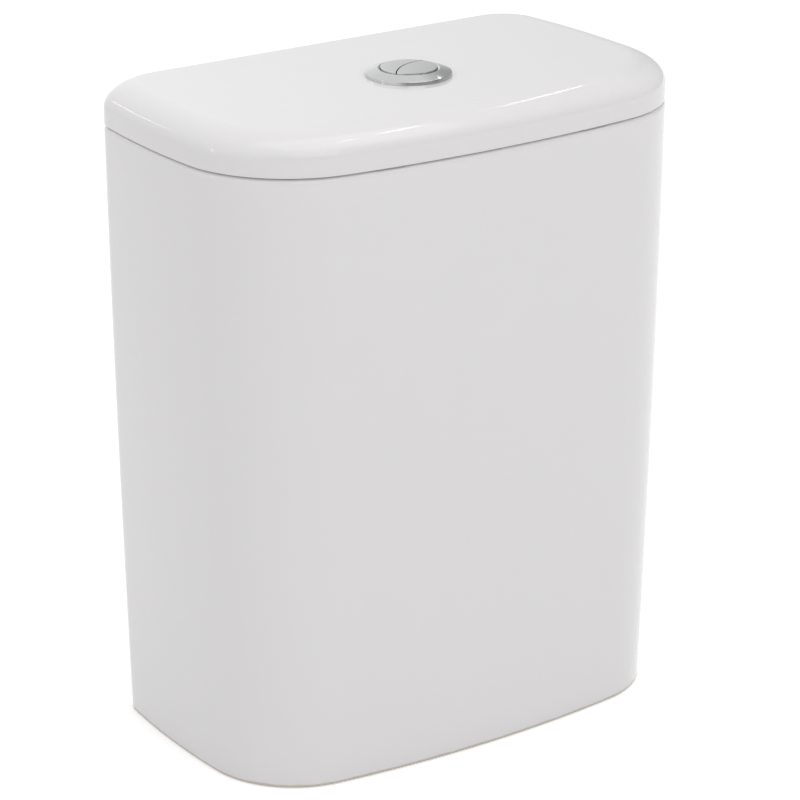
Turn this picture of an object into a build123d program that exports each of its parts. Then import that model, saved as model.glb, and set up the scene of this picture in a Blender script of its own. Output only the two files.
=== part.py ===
from build123d import *
import math
import os

# Close-coupled toilet cistern in millimetres.
# Origin: on the ground under the middle of the body. +Z is up, -Y is the front, the wall is at +Y.

# Ceramic body
overall_width = 365.0
overall_depth = 205.6
body_height = 420.5
foot_width = 344.0
foot_draw_in = 10.4
front_bow_r = 926.0
foot_front_bow_r = 833.0
side_bow_r = 620.0
side_widest_y = 10.9
front_corner_r = 80.0
foot_front_corner_r = 65.7
back_corner_r = 21.3
foot_back_corner_r = 14.5
back_ground_off = 0.1
barrel_swell = 1.2
body_wall = 9.0
skirt_wall = 10.0
underside_recess = 52.0
floor_thickness = 12.0
floor_cove = 6.0
pipe_notch_width = 200.0
pipe_notch_height = 40.0
pipe_notch_corner_r = 12.0
wall_hole_spacing = 220.0
wall_hole_r = 4.5
wall_hole_below_rim = 48.0
overrun = 2.0

# Ceramic lid
lid_height = 26.3
lid_band = 10.8
lid_round_in = 25.1
lid_round_in_back = 3.0
lid_top_thickness = 10.0
lid_rib_clearance = 2.5
lid_rib_width = 6.0
lid_rib_depth = 6.0
lid_rib_corner_r = 9.0
lid_hole_r = 22.0
lid_buffer_thickness = 1.0
lid_buffer_length = 20.0
lid_buffer_width = 6.0
front_buffer_spacing = 160.0
back_buffer_spacing = 240.0

# Push-button unit in the lid, on the axis of the outlet
outlet_y = -2.5
bezel_r = 28.65
bezel_edge_height = 2.4
bezel_edge_slope = 0.3
bezel_rim_height = 5.0
bezel_rim_width = 1.5
bezel_rim_roll = 0.7
bezel_skirt = 1.8
button_r = 18.6
button_clearance = 0.4
button_top_height = 6.3
button_dome = 0.7
button_top_thickness = 1.8
button_skirt_wall = 1.2
button_skirt_height = 9.0
divider_r = 42.6
divider_offset = 38.1
divider_side_offset = 9.9
divider_gap = 0.8
divider_angle = 130.4
housing_wall = 2.0
housing_flange_thickness = 1.5
housing_length = 34.0
housing_floor = 2.0
bezel_play = 0.3
housing_washer_thickness = 2.0
housing_washer_width = 7.5
housing_nut_height = 8.0
housing_nut_width = 9.0
housing_nut_lugs = 6
housing_nut_lug_width = 6.0
housing_nut_lug_depth = 2.5
thread_play = 0.25

# Push rods and return springs
rod_r = 2.25
rod_guide_play = 0.3
full_rod_u = -7.8
half_rod_u = 13.2
spring_wire_r = 0.35
spring_play = 0.3
spring_seat = 0.1
spring_turns = 8
arcs_per_turn = 4

# Flush valve, bottom up
outlet_hole_play = 2.0
tail_r = 30.0
tail_wall = 5.0
tail_below_floor = 40.0
throat_step = 1.0
throat_depth = 6.0
seat_washer_thickness = 3.0
seat_washer_width = 12.0
valve_flange_r = 46.0
valve_flange_thickness = 5.0
seat_lip_height = 4.0
seat_lip_width = 3.0
cage_r = 42.0
cage_wall = 5.0
cage_post_width = 12.0
cage_post_height = 40.0
cage_ring_height = 6.0
cage_ring_width = 9.0
backnut_height = 10.0
backnut_corner_r = 41.0
backnut_sides = 8
doughnut_height = 36.0
doughnut_r = 54.0
doughnut_bevel = 8.0
doughnut_play = 1.5

# Flush valve tower
tower_r = 33.0
tower_wall = 2.5
tower_height = 174.0
tower_foot_r = 40.0
tower_foot_thickness = 3.0
window_width = 18.0
window_from_foot = 10.0
window_height = 158.0
spider_thickness = 4.0
spider_rib_width = 3.0
upper_spider_height = 137.0
guide_width = 2.6
guide_play = 0.4
rail_height = 112.0
rail_from_foot = 32.0
rail_width = 6.0
rail_depth = 6.0
rail_stop_thickness = 3.0
rail_stop_depth = 14.0
rail_stop_width = 16.0
half_float_width = 30.0
half_float_depth = 21.0
half_float_height = 34.0
half_float_play = 0.4
half_float_standoff = 2.0
half_float_round = 3.0

# Rocker levers on the tower head
head_r = 34.0
head_thickness = 5.0
head_slot_length = 36.0
head_slot_width = 10.0
head_slot_centre_u = 2.5
pivot_v = 13.0
pivot_above_head = 8.0
nose_v = 33.0
pad_end_v = 3.0
lever_width = 6.0
lever_thickness = 4.0
lever_hub_r = 3.4
lever_pin_r = 1.5
lever_pin_play = 0.05
ear_thickness = 2.5
ear_r = 3.2
ear_gap = 0.3
touch_gap = 0.3

# Lifting part of the flush valve
overflow_r = 14.0
overflow_wall = 1.5
overflow_top = 190.0
piston_disc_r = 30.0
piston_disc_thickness = 4.0
flush_seal_thickness = 3.0
flush_seal_inner_r = 18.0
retainer_r = 22.0
retainer_thickness = 2.0
full_float_r = 26.0
full_float_height = 40.0
full_float_from_seat = 74.0
full_float_play = 0.2
yoke_from_seat = 148.0
yoke_bar_height = 6.0
yoke_bar_width = 8.0
yoke_collar_r = 18.0
yoke_leg_v = 38.0
yoke_leg_thickness = 3.0
yoke_hook_thickness = 3.0
yoke_hook_width = 8.4
yoke_hook_reach = 12.0
yoke_bar_end_play = 1.0
link_foot_thickness = 3.0
link_foot_reach = 7.0
leg_guide_v = 25.0
leg_guide_thickness = 2.0
leg_guide_play = 0.3

# Coupling bolts to the pan
bolt_spacing = 150.0
bolt_r = 4.0
bolt_neck_r = 3.7
bolt_free_end = 24.0
bolt_hole_r = 6.0
bolt_head_r = 9.0
bolt_head_height = 5.0
bolt_head_dome = 1.5
bolt_slot_width = 2.0
bolt_slot_depth = 2.2
bolt_play = 0.3
bolt_end_height = 8.0
cone_washer_r = 13.0
cone_washer_height = 6.0
cone_washer_top_r = 10.5
cone_spigot_depth = 5.0
cone_spigot_play = 0.3
steel_washer_r = 12.0
steel_washer_thickness = 1.6
outer_rubber_thickness = 3.0
wing_hub_r = 7.0
wing_hub_height = 6.4
wing_span = 32.0
wing_thickness = 2.5
wing_height = 12.0

# Fill valve on its bottom inlet
fill_x = 112.0
fill_y = 20.0
inlet_thread_r = 10.48
inlet_neck_r = 10.2
inlet_bore_r = 7.0
inlet_hole_play = 1.8
inlet_below_floor = 40.0
inlet_free_thread = 32.0
fill_flange_r = 20.0
fill_flange_thickness = 4.0
fill_washer_thickness = 3.0
fill_washer_play = 0.3
fill_nut_height = 8.0
fill_nut_corner_r = 18.5
fill_nut_sides = 6
filter_height = 20.0
filter_wall = 1.4
filter_play = 0.4
filter_end_thickness = 1.5
filter_inset = 2.0
lower_tube_r = 16.0
lower_tube_wall = 2.8
lower_tube_floor = 4.0
riser_r = 13.0
riser_wall = 4.0
riser_play = 0.2
riser_above_flange = 19.0
riser_below_rim = 90.5
lock_ring_r = 19.0
lock_ring_height = 10.0
lock_ring_ribs = 12
lock_ring_rib_r = 1.2
fill_head_r = 17.0
fill_head_height = 24.0
fill_head_neck = 5.0
fill_head_socket = 12.0
diaphragm_r = 16.5
diaphragm_thickness = 2.0
head_cap_r = 19.5
head_cap_skirt = 8.0
head_cap_top = 8.0
head_cap_play = 0.3

# Float and arm of the fill valve
float_r = 32.0
float_play = 1.3
float_height = 64.0
float_round = 4.0
float_above_tube = 24.0
float_below_head = 18.0
arm_tilt = 10.8
arm_length = 38.0
arm_pivot_offset = 12.0
arm_pivot_above_cap = 12.0
arm_tail = 5.0
arm_thickness = 4.0
arm_width = 5.0
arm_eye_width = 9.0
arm_eye_length = 15.0
arm_slot_length = 8.0
arm_slot_width = 3.8
arm_hub_r = 3.6
arm_pin_r = 1.5
arm_pin_play = 0.05
arm_ear_thickness = 2.5
arm_ear_r = 3.6
float_rod_r = 1.5
float_rod_above_arm = 12.0
rod_clip_r = 3.4
rod_clip_height = 3.0
rod_clip_play = 0.9

# Heights and places that follow from the sizes above
back_y = overall_depth / 2
front_y = -overall_depth / 2
floor_top = underside_recess + floor_thickness
lid_low = body_height + lid_buffer_thickness
lid_top = lid_low + lid_height
lid_ceiling = lid_top - lid_top_thickness
button_bore_r = button_r + button_clearance
housing_r = button_bore_r + housing_wall
housing_bottom = lid_top - housing_length
button_top = lid_top + button_top_height
button_underside = button_top - button_dome - button_top_thickness
skirt_bottom = button_top - button_skirt_height
flange_bottom = floor_top + seat_washer_thickness
flange_top = flange_bottom + valve_flange_thickness
seat_top = flange_top + seat_lip_height
tail_bottom = underside_recess - tail_below_floor
cage_top = flange_top + cage_post_height + cage_ring_height
tower_top = cage_top + tower_height
head_top = tower_top + head_thickness
pivot_height = head_top + pivot_above_head
lever_top = pivot_height + lever_thickness / 2
rod_tip = lever_top + touch_gap
outlet_hole_r = tail_r + outlet_hole_play
seal_top = seat_top + flush_seal_thickness
disc_top = seal_top + piston_disc_thickness
fill_flange_bottom = floor_top + fill_washer_thickness
fill_flange_top = fill_flange_bottom + fill_flange_thickness
riser_bottom = fill_flange_top + riser_above_flange
riser_top = body_height - riser_below_rim
fill_head_bottom = riser_top - fill_head_socket
fill_head_top = fill_head_bottom + fill_head_height
cap_top = fill_head_top + diaphragm_thickness + head_cap_top
arm_pivot_x = fill_x + arm_pivot_offset
arm_pivot_height = cap_top + arm_pivot_above_cap
float_rod_x = arm_pivot_x - arm_length
float_top = fill_head_bottom - float_below_head
float_bottom = float_top - float_height
lower_tube_top = float_bottom - float_above_tube
eye_height = arm_pivot_height - arm_length * math.sin(math.radians(arm_tilt))
outlet_centre = (0, outlet_y)
fill_centre = (fill_x, fill_y)
bolt_centres = [(-bolt_spacing / 2, outlet_y), (bolt_spacing / 2, outlet_y)]

# Frame of the flush valve: u runs from the large button to the small one, v across
turn = math.radians(divider_angle)
u_dir = Vector(math.cos(turn), math.sin(turn), 0)
v_dir = Vector(-math.sin(turn), math.cos(turn), 0)
valve_frame = Plane(origin=(0, outlet_y, 0), x_dir=u_dir, z_dir=(0, 0, 1))
outlet_side = Plane(origin=(0, outlet_y, 0), x_dir=(1, 0, 0), z_dir=(0, -1, 0))
outlet_axis = Axis((0, outlet_y, 0), (0, 0, 1))
fill_side = Plane(origin=(fill_x, fill_y, 0), x_dir=(1, 0, 0), z_dir=(0, -1, 0))
fill_axis = Axis((fill_x, fill_y, 0), (0, 0, 1))


def circles_meet(centre_a, radius_a, centre_b, radius_b):
    """Front right meeting point of two circles."""
    across = centre_b - centre_a
    span = across.length
    along = (span**2 + radius_a**2 - radius_b**2) / (2 * span)
    rise = math.sqrt(radius_a**2 - along**2)
    step = across.normalized()
    sideways = Vector(step.Y, -step.X, 0)
    points = [centre_a + step * along + sideways * rise, centre_a + step * along - sideways * rise]
    return max(points, key=lambda point: point.X - point.Y)


def towards(centre, target, radius):
    """Point on a circle in the direction of a target."""
    return centre + (target - centre).normalized() * radius


def draw_plan(half_width, front, back, bow_r, side_r, front_corner, back_corner):
    """Closed plan with a bowed front, bowed sides, a straight back and rounded corners."""
    bow_centre = Vector(0, front + bow_r, 0)
    side_centre = Vector(half_width - side_r, side_widest_y, 0)
    corner = circles_meet(bow_centre, bow_r - front_corner, side_centre, side_r - front_corner)
    back_corner_y = back - back_corner
    reach = math.sqrt((side_r - back_corner) ** 2 - (back_corner_y - side_widest_y) ** 2)
    rear = Vector(side_centre.X + reach, back_corner_y, 0)
    bow_end = towards(bow_centre, corner, bow_r)
    side_start = towards(side_centre, corner, side_r)
    side_end = towards(side_centre, rear, side_r)
    back_end = Vector(rear.X, back, 0)
    corner_mid = towards(corner, (bow_end + side_start) * 0.5, front_corner)
    side_mid = towards(side_centre, (side_start + side_end) * 0.5, side_r)
    rear_mid = towards(rear, (side_end + back_end) * 0.5, back_corner)
    half = [bow_end, corner_mid, side_start, side_mid, side_end, rear_mid, back_end]
    other = [Vector(-point.X, point.Y, 0) for point in half]
    with BuildLine() as outline:
        ThreePointArc(other[0], (0, front), half[0])
        for first in (0, 2, 4):
            ThreePointArc(*half[first : first + 3])
        Line(half[6], other[6])
        for last in (6, 4, 2):
            ThreePointArc(other[last], other[last - 1], other[last - 2])
    make_face(outline.edges())


def body_plan(height, inset, back=back_y):
    """Plan of the body at a height, drawn in all round by an inset."""
    share = height / body_height
    swell = barrel_swell * 4 * share * (1 - share)
    half_width = (foot_width + (overall_width - foot_width) * share) / 2 + swell
    front = front_y + foot_draw_in * (1 - share) - swell
    bow_r = foot_front_bow_r + (front_bow_r - foot_front_bow_r) * share
    corner_r = foot_front_corner_r + (front_corner_r - foot_front_corner_r) * share
    rear_r = foot_back_corner_r + (back_corner_r - foot_back_corner_r) * share
    with BuildSketch(Plane.XY.offset(height)) as plan:
        draw_plan(
            half_width - inset, front + inset, back - inset, bow_r - inset,
            side_bow_r - inset, corner_r - inset, rear_r - inset,
        )
    return plan.sketch


def lid_plan(height, inset, back_inset, corner_r):
    """Plan of the lid at a height, flush with the top of the body where nothing is drawn in."""
    with BuildSketch(Plane.XY.offset(height)) as plan:
        draw_plan(
            overall_width / 2 - inset, front_y + inset, back_y - back_inset, front_bow_r - inset,
            side_bow_r - inset, front_corner_r - inset, corner_r,
        )
    return plan.sketch


def add_tube(low, high, outer_r, inner_r, centre, mode=Mode.ADD):
    """Upright tube, or a rod where the inner radius is zero."""
    with BuildSketch(Plane.XY.offset(low)) as section:
        with Locations(centre):
            Circle(outer_r)
            if inner_r > 0:
                Circle(inner_r, mode=Mode.SUBTRACT)
    extrude(section.sketch, amount=high - low, mode=mode)


def add_block(frame, low, high, u_low, u_high, v_low, v_high, mode=Mode.ADD):
    """Upright block between two corners in a frame."""
    with BuildSketch(frame.offset(low)) as section:
        with Locations(((u_low + u_high) / 2, (v_low + v_high) / 2)):
            Rectangle(u_high - u_low, v_high - v_low)
    extrude(section.sketch, amount=high - low, mode=mode)


def revolve_profile(side, axis, points):
    """Ring or disc from a closed profile of radius and height."""
    with BuildSketch(side) as profile:
        with BuildLine():
            Polyline(*points, close=True)
        make_face()
    revolve(profile.sketch, axis=axis)


def across_valve(u):
    """Upright plane across u, with v to the right and the height upwards."""
    return Plane(origin=valve_frame.from_local_coords((u, 0, 0)), x_dir=v_dir, z_dir=u_dir)


def finish(piece, name):
    """Labels a finished piece and writes its file."""
    piece.part.label = name
    export_step(piece.part, f"parts/{name}.step")


os.makedirs("parts", exist_ok=True)

# Tank: lofted outside, hollow inside, recess underneath, holes in the floor and back
with BuildPart() as tank:
    outer_heights = (0, body_height / 2, body_height)
    loft([body_plan(height, 0, back_y + back_ground_off) for height in outer_heights])
    half_span = overall_width / 2 + overrun
    add_block(Plane.XY, -overrun, body_height + overrun, -half_span, half_span,
              back_y, back_y + overrun, Mode.SUBTRACT)
    cove_top = floor_top + floor_cove
    cove = [body_plan(floor_top, body_wall + floor_cove / 2), body_plan(cove_top, body_wall)]
    loft(cove, ruled=True, mode=Mode.SUBTRACT)
    inner_heights = (cove_top, (cove_top + body_height) / 2, body_height + overrun)
    loft([body_plan(height, body_wall) for height in inner_heights], mode=Mode.SUBTRACT)
    recess_heights = (-overrun, underside_recess)
    loft([body_plan(height, skirt_wall) for height in recess_heights], mode=Mode.SUBTRACT)
    add_tube(underside_recess - overrun, floor_top + overrun, outlet_hole_r, 0, outlet_centre, Mode.SUBTRACT)
    inlet_hole_r = inlet_thread_r + inlet_hole_play
    add_tube(underside_recess - overrun, floor_top + overrun, inlet_hole_r, 0, fill_centre, Mode.SUBTRACT)
    for centre in bolt_centres:
        add_tube(underside_recess - overrun, floor_top + overrun, bolt_hole_r, 0, centre, Mode.SUBTRACT)
    with BuildSketch(Plane.XZ.offset(-back_y - overrun)):
        with Locations((0, (pipe_notch_height - overrun) / 2)):
            Rectangle(pipe_notch_width, pipe_notch_height + overrun)
        fillet(vertices().group_by(Axis.Y)[-1], pipe_notch_corner_r)
    extrude(amount=skirt_wall + 2 * overrun, mode=Mode.SUBTRACT)
    with BuildSketch(Plane.XZ.offset(-back_y - overrun)):
        with Locations((0, body_height - wall_hole_below_rim)):
            with GridLocations(wall_hole_spacing, 0, 2, 1):
                Circle(wall_hole_r)
    extrude(amount=body_wall + 2 * overrun, mode=Mode.SUBTRACT)
finish(tank, "tank")

# Lid: upright band, big roundover on front and sides, pocket and locating rib underneath
lid_round_up = lid_height - lid_band
lid_sections = 6
with BuildPart() as lid:
    extrude(lid_plan(lid_low, 0, 0, back_corner_r), amount=lid_band)
    roundover = []
    for section in range(lid_sections + 1):
        angle = math.radians(90 * section / lid_sections)
        drawn_in = 1 - math.cos(angle)
        height = lid_low + lid_band + lid_round_up * math.sin(angle)
        roundover.append(
            lid_plan(height, lid_round_in * drawn_in, lid_round_in_back * drawn_in, back_corner_r)
        )
    loft(roundover)
    rib_outer = body_wall + lid_rib_clearance
    rib_inner = rib_outer + lid_rib_width
    rib_low = lid_low - lid_rib_depth
    extrude(lid_plan(rib_low, rib_outer, rib_outer, lid_rib_corner_r), amount=lid_rib_depth)
    pocket = lid_plan(rib_low - overrun, rib_inner, rib_inner, lid_rib_corner_r)
    extrude(pocket, amount=lid_ceiling - rib_low + overrun, mode=Mode.SUBTRACT)
    add_tube(lid_ceiling - overrun, lid_top + overrun, lid_hole_r, 0, outlet_centre, Mode.SUBTRACT)
finish(lid, "lid")

# Four thin pads between the rim and the lid
rim_middle = body_wall / 2
with BuildPart() as lid_buffers:
    front_pad_r = front_bow_r - rim_middle
    front_pad_turn = math.degrees(math.asin(front_buffer_spacing / 2 / front_pad_r))
    with BuildSketch(Plane.XY.offset(body_height)):
        with Locations((0, front_y + front_bow_r)):
            with Locations((0, 0)):
                with PolarLocations(front_pad_r, 2, -90 - front_pad_turn, 4 * front_pad_turn):
                    Rectangle(lid_buffer_width, lid_buffer_length)
        with Locations((0, back_y - rim_middle)):
            with GridLocations(back_buffer_spacing, 0, 2, 1):
                Rectangle(lid_buffer_length, lid_buffer_width)
    extrude(amount=lid_buffer_thickness)
finish(lid_buffers, "lid_buffers")

# Threaded cup that holds the buttons, with guides for the rods in its floor
with BuildPart() as button_housing:
    add_tube(housing_bottom, lid_top, housing_r, button_bore_r, outlet_centre)
    flange_r = bezel_r - bezel_skirt - bezel_play
    add_tube(lid_top, lid_top + housing_flange_thickness, flange_r, button_bore_r, outlet_centre)
    add_tube(housing_bottom, housing_bottom + housing_floor, housing_r, 0, outlet_centre)
    with BuildSketch(valve_frame.offset(housing_bottom)):
        with Locations((full_rod_u, 0), (half_rod_u, 0)):
            Circle(rod_r + rod_guide_play)
    extrude(amount=housing_floor, mode=Mode.SUBTRACT)
finish(button_housing, "button_housing")

# Chrome ring: upright edge, cone up to a rolled inner rim, hollow over the flange of the cup
with BuildPart() as button_bezel:
    bezel_low = lid_top + housing_flange_thickness
    rim_outer = button_bore_r + bezel_rim_width
    with BuildSketch(outlet_side):
        with BuildLine():
            Line((bezel_r, lid_top), (bezel_r - bezel_edge_slope, lid_top + bezel_edge_height))
            Line(
                (bezel_r - bezel_edge_slope, lid_top + bezel_edge_height),
                (rim_outer, lid_top + bezel_rim_height),
            )
            TangentArc(
                (rim_outer, lid_top + bezel_rim_height),
                (button_bore_r, lid_top + bezel_rim_height - bezel_rim_roll),
                tangent=(rim_outer - bezel_r, bezel_rim_height - bezel_edge_height),
            )
            Polyline(
                (button_bore_r, lid_top + bezel_rim_height - bezel_rim_roll),
                (button_bore_r, bezel_low),
                (bezel_r - bezel_skirt, bezel_low),
                (bezel_r - bezel_skirt, lid_top),
                (bezel_r, lid_top),
            )
        make_face()
    revolve(axis=outlet_axis)
finish(button_bezel, "button_bezel")

with BuildPart() as housing_washer:
    washer_low = lid_ceiling - housing_washer_thickness
    washer_bore_r = housing_r + thread_play
    add_tube(washer_low, lid_ceiling, washer_bore_r + housing_washer_width, washer_bore_r, outlet_centre)
finish(housing_washer, "housing_washer")

with BuildPart() as housing_nut:
    nut_low = washer_low - housing_nut_height
    nut_r = washer_bore_r + housing_nut_width
    add_tube(nut_low, washer_low, nut_r, washer_bore_r, outlet_centre)
    with BuildSketch(Plane.XY.offset(nut_low)):
        with Locations(outlet_centre):
            with PolarLocations(nut_r, housing_nut_lugs):
                Rectangle(2 * housing_nut_lug_depth, housing_nut_lug_width)
            Circle(washer_bore_r, mode=Mode.SUBTRACT)
    extrude(amount=housing_nut_height)
finish(housing_nut, "housing_nut")


def add_button_cap():
    """Domed round cap with a skirt, before it is cut into the two buttons."""
    skirt_inner_r = button_r - button_skirt_wall
    with BuildSketch(outlet_side) as profile:
        with BuildLine():
            TangentArc((0, button_top), (button_r, button_top - button_dome), tangent=(1, 0))
            Polyline(
                (button_r, button_top - button_dome),
                (button_r, skirt_bottom),
                (skirt_inner_r, skirt_bottom),
                (skirt_inner_r, button_underside),
                (0, button_underside),
                (0, button_top),
            )
        make_face()
    revolve(profile.sketch, axis=outlet_axis)


def add_divider_wall(outer, inner):
    """Skirt wall along the line between the buttons."""
    with BuildSketch(valve_frame.offset(skirt_bottom)) as wall:
        with Locations((-divider_offset, divider_side_offset)):
            Circle(outer)
            Circle(inner, mode=Mode.SUBTRACT)
        Circle(button_r, mode=Mode.INTERSECT)
    extrude(wall.sketch, amount=button_underside - skirt_bottom)


# Large button: the cap inside the divider circle
with BuildPart() as full_flush_button:
    large_edge_r = divider_r - divider_gap / 2
    add_button_cap()
    with BuildSketch(valve_frame.offset(skirt_bottom)):
        with Locations((-divider_offset, divider_side_offset)):
            Circle(large_edge_r)
    extrude(amount=button_top - skirt_bottom + overrun, mode=Mode.INTERSECT)
    add_divider_wall(large_edge_r, large_edge_r - button_skirt_wall)
finish(full_flush_button, "full_flush_button")

# Small button: the crescent outside the divider circle
with BuildPart() as half_flush_button:
    small_edge_r = divider_r + divider_gap / 2
    add_button_cap()
    with BuildSketch(valve_frame.offset(skirt_bottom)):
        with Locations((-divider_offset, divider_side_offset)):
            Circle(small_edge_r)
    extrude(amount=button_top - skirt_bottom + overrun, mode=Mode.SUBTRACT)
    add_divider_wall(small_edge_r + button_skirt_wall, small_edge_r)
finish(half_flush_button, "half_flush_button")


def make_rod(u):
    """Push rod with a ball end, from the underside of a button to its lever."""
    with BuildPart() as rod:
        with BuildSketch(across_valve(u)):
            with BuildLine():
                Polyline((0, rod_tip), (0, button_underside), (rod_r, button_underside))
                Line((rod_r, button_underside), (rod_r, rod_tip + rod_r))
                CenterArc((0, rod_tip + rod_r), rod_r, 0, -90)
            make_face()
        foot = valve_frame.from_local_coords((u, 0, 0))
        revolve(axis=Axis(foot, (0, 0, 1)))
    return rod


finish(make_rod(full_rod_u), "full_flush_rod")
finish(make_rod(half_rod_u), "half_flush_rod")


def draw_biarc(start, start_dir, end, end_dir):
    """Two tangent arcs from one point and direction to another."""
    chord = end - start
    both = start_dir + end_dir
    bend = 2 * (1 - start_dir.dot(end_dir))
    reach = (-chord.dot(both) + math.sqrt(chord.dot(both) ** 2 + bend * chord.dot(chord))) / bend
    joint = (start + end + (start_dir - end_dir) * reach) * 0.5
    first = TangentArc(start, joint, tangent=start_dir)
    TangentArc(joint, end, tangent=first % 1)


def make_spring(u, name):
    """Helical spring round a push rod, between the floor of the cup and the button."""
    coil_r = rod_r + spring_play + spring_wire_r
    low = housing_bottom + housing_floor + spring_wire_r + spring_seat
    high = button_underside - spring_wire_r - spring_seat
    pitch = (high - low) / spring_turns
    centre = valve_frame.from_local_coords((u, 0, low))
    steps = spring_turns * arcs_per_turn
    points = []
    directions = []
    for step in range(steps + 1):
        angle = 2 * math.pi * step / arcs_per_turn
        climb = pitch / (2 * math.pi)
        points.append(centre + Vector(coil_r * math.cos(angle), coil_r * math.sin(angle), climb * angle))
        directions.append(Vector(-coil_r * math.sin(angle), coil_r * math.cos(angle), climb).normalized())
    with BuildPart() as spring:
        with BuildLine():
            for step in range(steps):
                draw_biarc(points[step], directions[step], points[step + 1], directions[step + 1])
        with BuildSketch(Plane(origin=points[0], z_dir=directions[0])):
            Circle(spring_wire_r)
        sweep()
    gaps = []
    for step in range(steps - arcs_per_turn + 1):
        gaps.append((points[step + arcs_per_turn] - points[step]).length - 2 * spring_wire_r)
    print(f"{name}: least gap to itself {min(gaps):.2f} mm")
    return spring


finish(make_spring(full_rod_u, "full_button_spring"), "full_button_spring")
finish(make_spring(half_rod_u, "half_button_spring"), "half_button_spring")

# Base of the flush valve: threaded tail, flange, seat and the cage that carries the tower
with BuildPart() as flush_valve_base:
    tail_bore_r = tail_r - tail_wall
    throat_r = tail_bore_r + throat_step
    add_tube(tail_bottom, flange_bottom, tail_r, tail_bore_r, outlet_centre)
    add_tube(flange_bottom, flange_top, valve_flange_r, tail_bore_r, outlet_centre)
    add_tube(flange_top, seat_top, throat_r + seat_lip_width, tail_bore_r, outlet_centre)
    add_tube(seat_top - throat_depth, seat_top, throat_r, 0, outlet_centre, Mode.SUBTRACT)
    with BuildSketch(valve_frame.offset(flange_top)):
        Circle(cage_r)
        Circle(cage_r - cage_wall, mode=Mode.SUBTRACT)
        with BuildSketch(mode=Mode.INTERSECT):
            with PolarLocations(0, 2, 45):
                Rectangle(2 * cage_r, cage_post_width)
            with PolarLocations(0, 2, 135):
                Rectangle(2 * cage_r, cage_post_width)
    extrude(amount=cage_post_height)
    add_tube(cage_top - cage_ring_height, cage_top, cage_r, cage_r - cage_ring_width, outlet_centre)
finish(flush_valve_base, "flush_valve_base")

with BuildPart() as outlet_seat_washer:
    add_tube(floor_top, flange_bottom, outlet_hole_r + seat_washer_width, outlet_hole_r, outlet_centre)
finish(outlet_seat_washer, "outlet_seat_washer")

with BuildPart() as outlet_backnut:
    with BuildSketch(Plane.XY.offset(underside_recess - backnut_height)):
        with Locations(outlet_centre):
            RegularPolygon(backnut_corner_r, backnut_sides)
            Circle(tail_r + thread_play, mode=Mode.SUBTRACT)
    extrude(amount=backnut_height)
finish(outlet_backnut, "outlet_backnut")

# Foam ring that seals the outlet to the pan and covers the nut
with BuildPart() as doughnut_washer:
    doughnut_bottom = underside_recess - doughnut_height
    nut_cover_bottom = underside_recess - backnut_height - thread_play
    nut_cover_r = backnut_corner_r + doughnut_play
    revolve_profile(
        outlet_side, outlet_axis,
        [
            (tail_r + doughnut_play, doughnut_bottom),
            (doughnut_r - doughnut_bevel, doughnut_bottom),
            (doughnut_r, doughnut_bottom + doughnut_bevel),
            (doughnut_r, underside_recess),
            (nut_cover_r, underside_recess),
            (nut_cover_r, nut_cover_bottom),
            (tail_r + doughnut_play, nut_cover_bottom),
        ],
    )
finish(doughnut_washer, "doughnut_washer")

# Tower: windowed tube on the cage, with guides for the overflow tube and a rail for the small float
rail_bottom = cage_top + rail_from_foot
rail_top = rail_bottom + rail_height
rail_start_u = tower_r - tower_wall / 2
rail_end_u = tower_r + rail_depth
guide_inner_r = overflow_r + guide_play
with BuildPart() as valve_tower:
    tower_bore_r = tower_r - tower_wall
    add_tube(cage_top, tower_top, tower_r, tower_bore_r, outlet_centre)
    add_tube(cage_top, cage_top + tower_foot_thickness, tower_foot_r, tower_bore_r, outlet_centre)
    window_low = cage_top + window_from_foot
    window_high = window_low + window_height
    half_window = window_width / 2
    for side in (-1, 1):
        near = min(0, side * (tower_r + overrun))
        far = max(0, side * (tower_r + overrun))
        add_block(valve_frame, window_low, window_high, -half_window, half_window, near, far, Mode.SUBTRACT)
    add_block(
        valve_frame, window_low, window_high, -tower_r - overrun, 0, -half_window, half_window, Mode.SUBTRACT,
    )
    for low in (cage_top, cage_top + upper_spider_height):
        with BuildSketch(valve_frame.offset(low)):
            Rectangle(2 * tower_r - tower_wall, spider_rib_width)
            Circle(guide_inner_r + guide_width)
            Circle(guide_inner_r, mode=Mode.SUBTRACT)
        extrude(amount=spider_thickness)
    half_rail = rail_width / 2
    add_block(valve_frame, rail_bottom, rail_top, rail_start_u, rail_end_u, -half_rail, half_rail)
    half_stop = rail_stop_width / 2
    add_block(
        valve_frame, rail_bottom - rail_stop_thickness, rail_bottom, rail_start_u,
        tower_r + rail_stop_depth, -half_stop, half_stop,
    )
finish(valve_tower, "valve_tower")

# Small float that slides on the rail, resting on its stop while the tank is empty
with BuildPart() as half_flush_float:
    float_near_u = tower_r + half_float_standoff
    float_far_u = float_near_u + half_float_depth
    float_high = rail_bottom + half_float_height
    add_block(
        valve_frame, rail_bottom, float_high, float_near_u, float_far_u,
        -half_float_width / 2, half_float_width / 2,
    )
    fillet(edges().filter_by(Axis.Z), half_float_round)
    slot_half = rail_width / 2 + half_float_play
    add_block(
        valve_frame, rail_bottom, float_high, float_near_u, rail_end_u + half_float_play,
        -slot_half, slot_half, Mode.SUBTRACT,
    )
finish(half_flush_float, "half_flush_float")


def lever_sides(u):
    """The u of the two faces of each ear beside a lever."""
    near = lever_width / 2 + ear_gap
    return [(u - near - ear_thickness, u - near), (u + near, u + near + ear_thickness)]


levers = [(full_rod_u, 1, "full_flush_lever"), (half_rod_u, -1, "half_flush_lever")]

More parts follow.
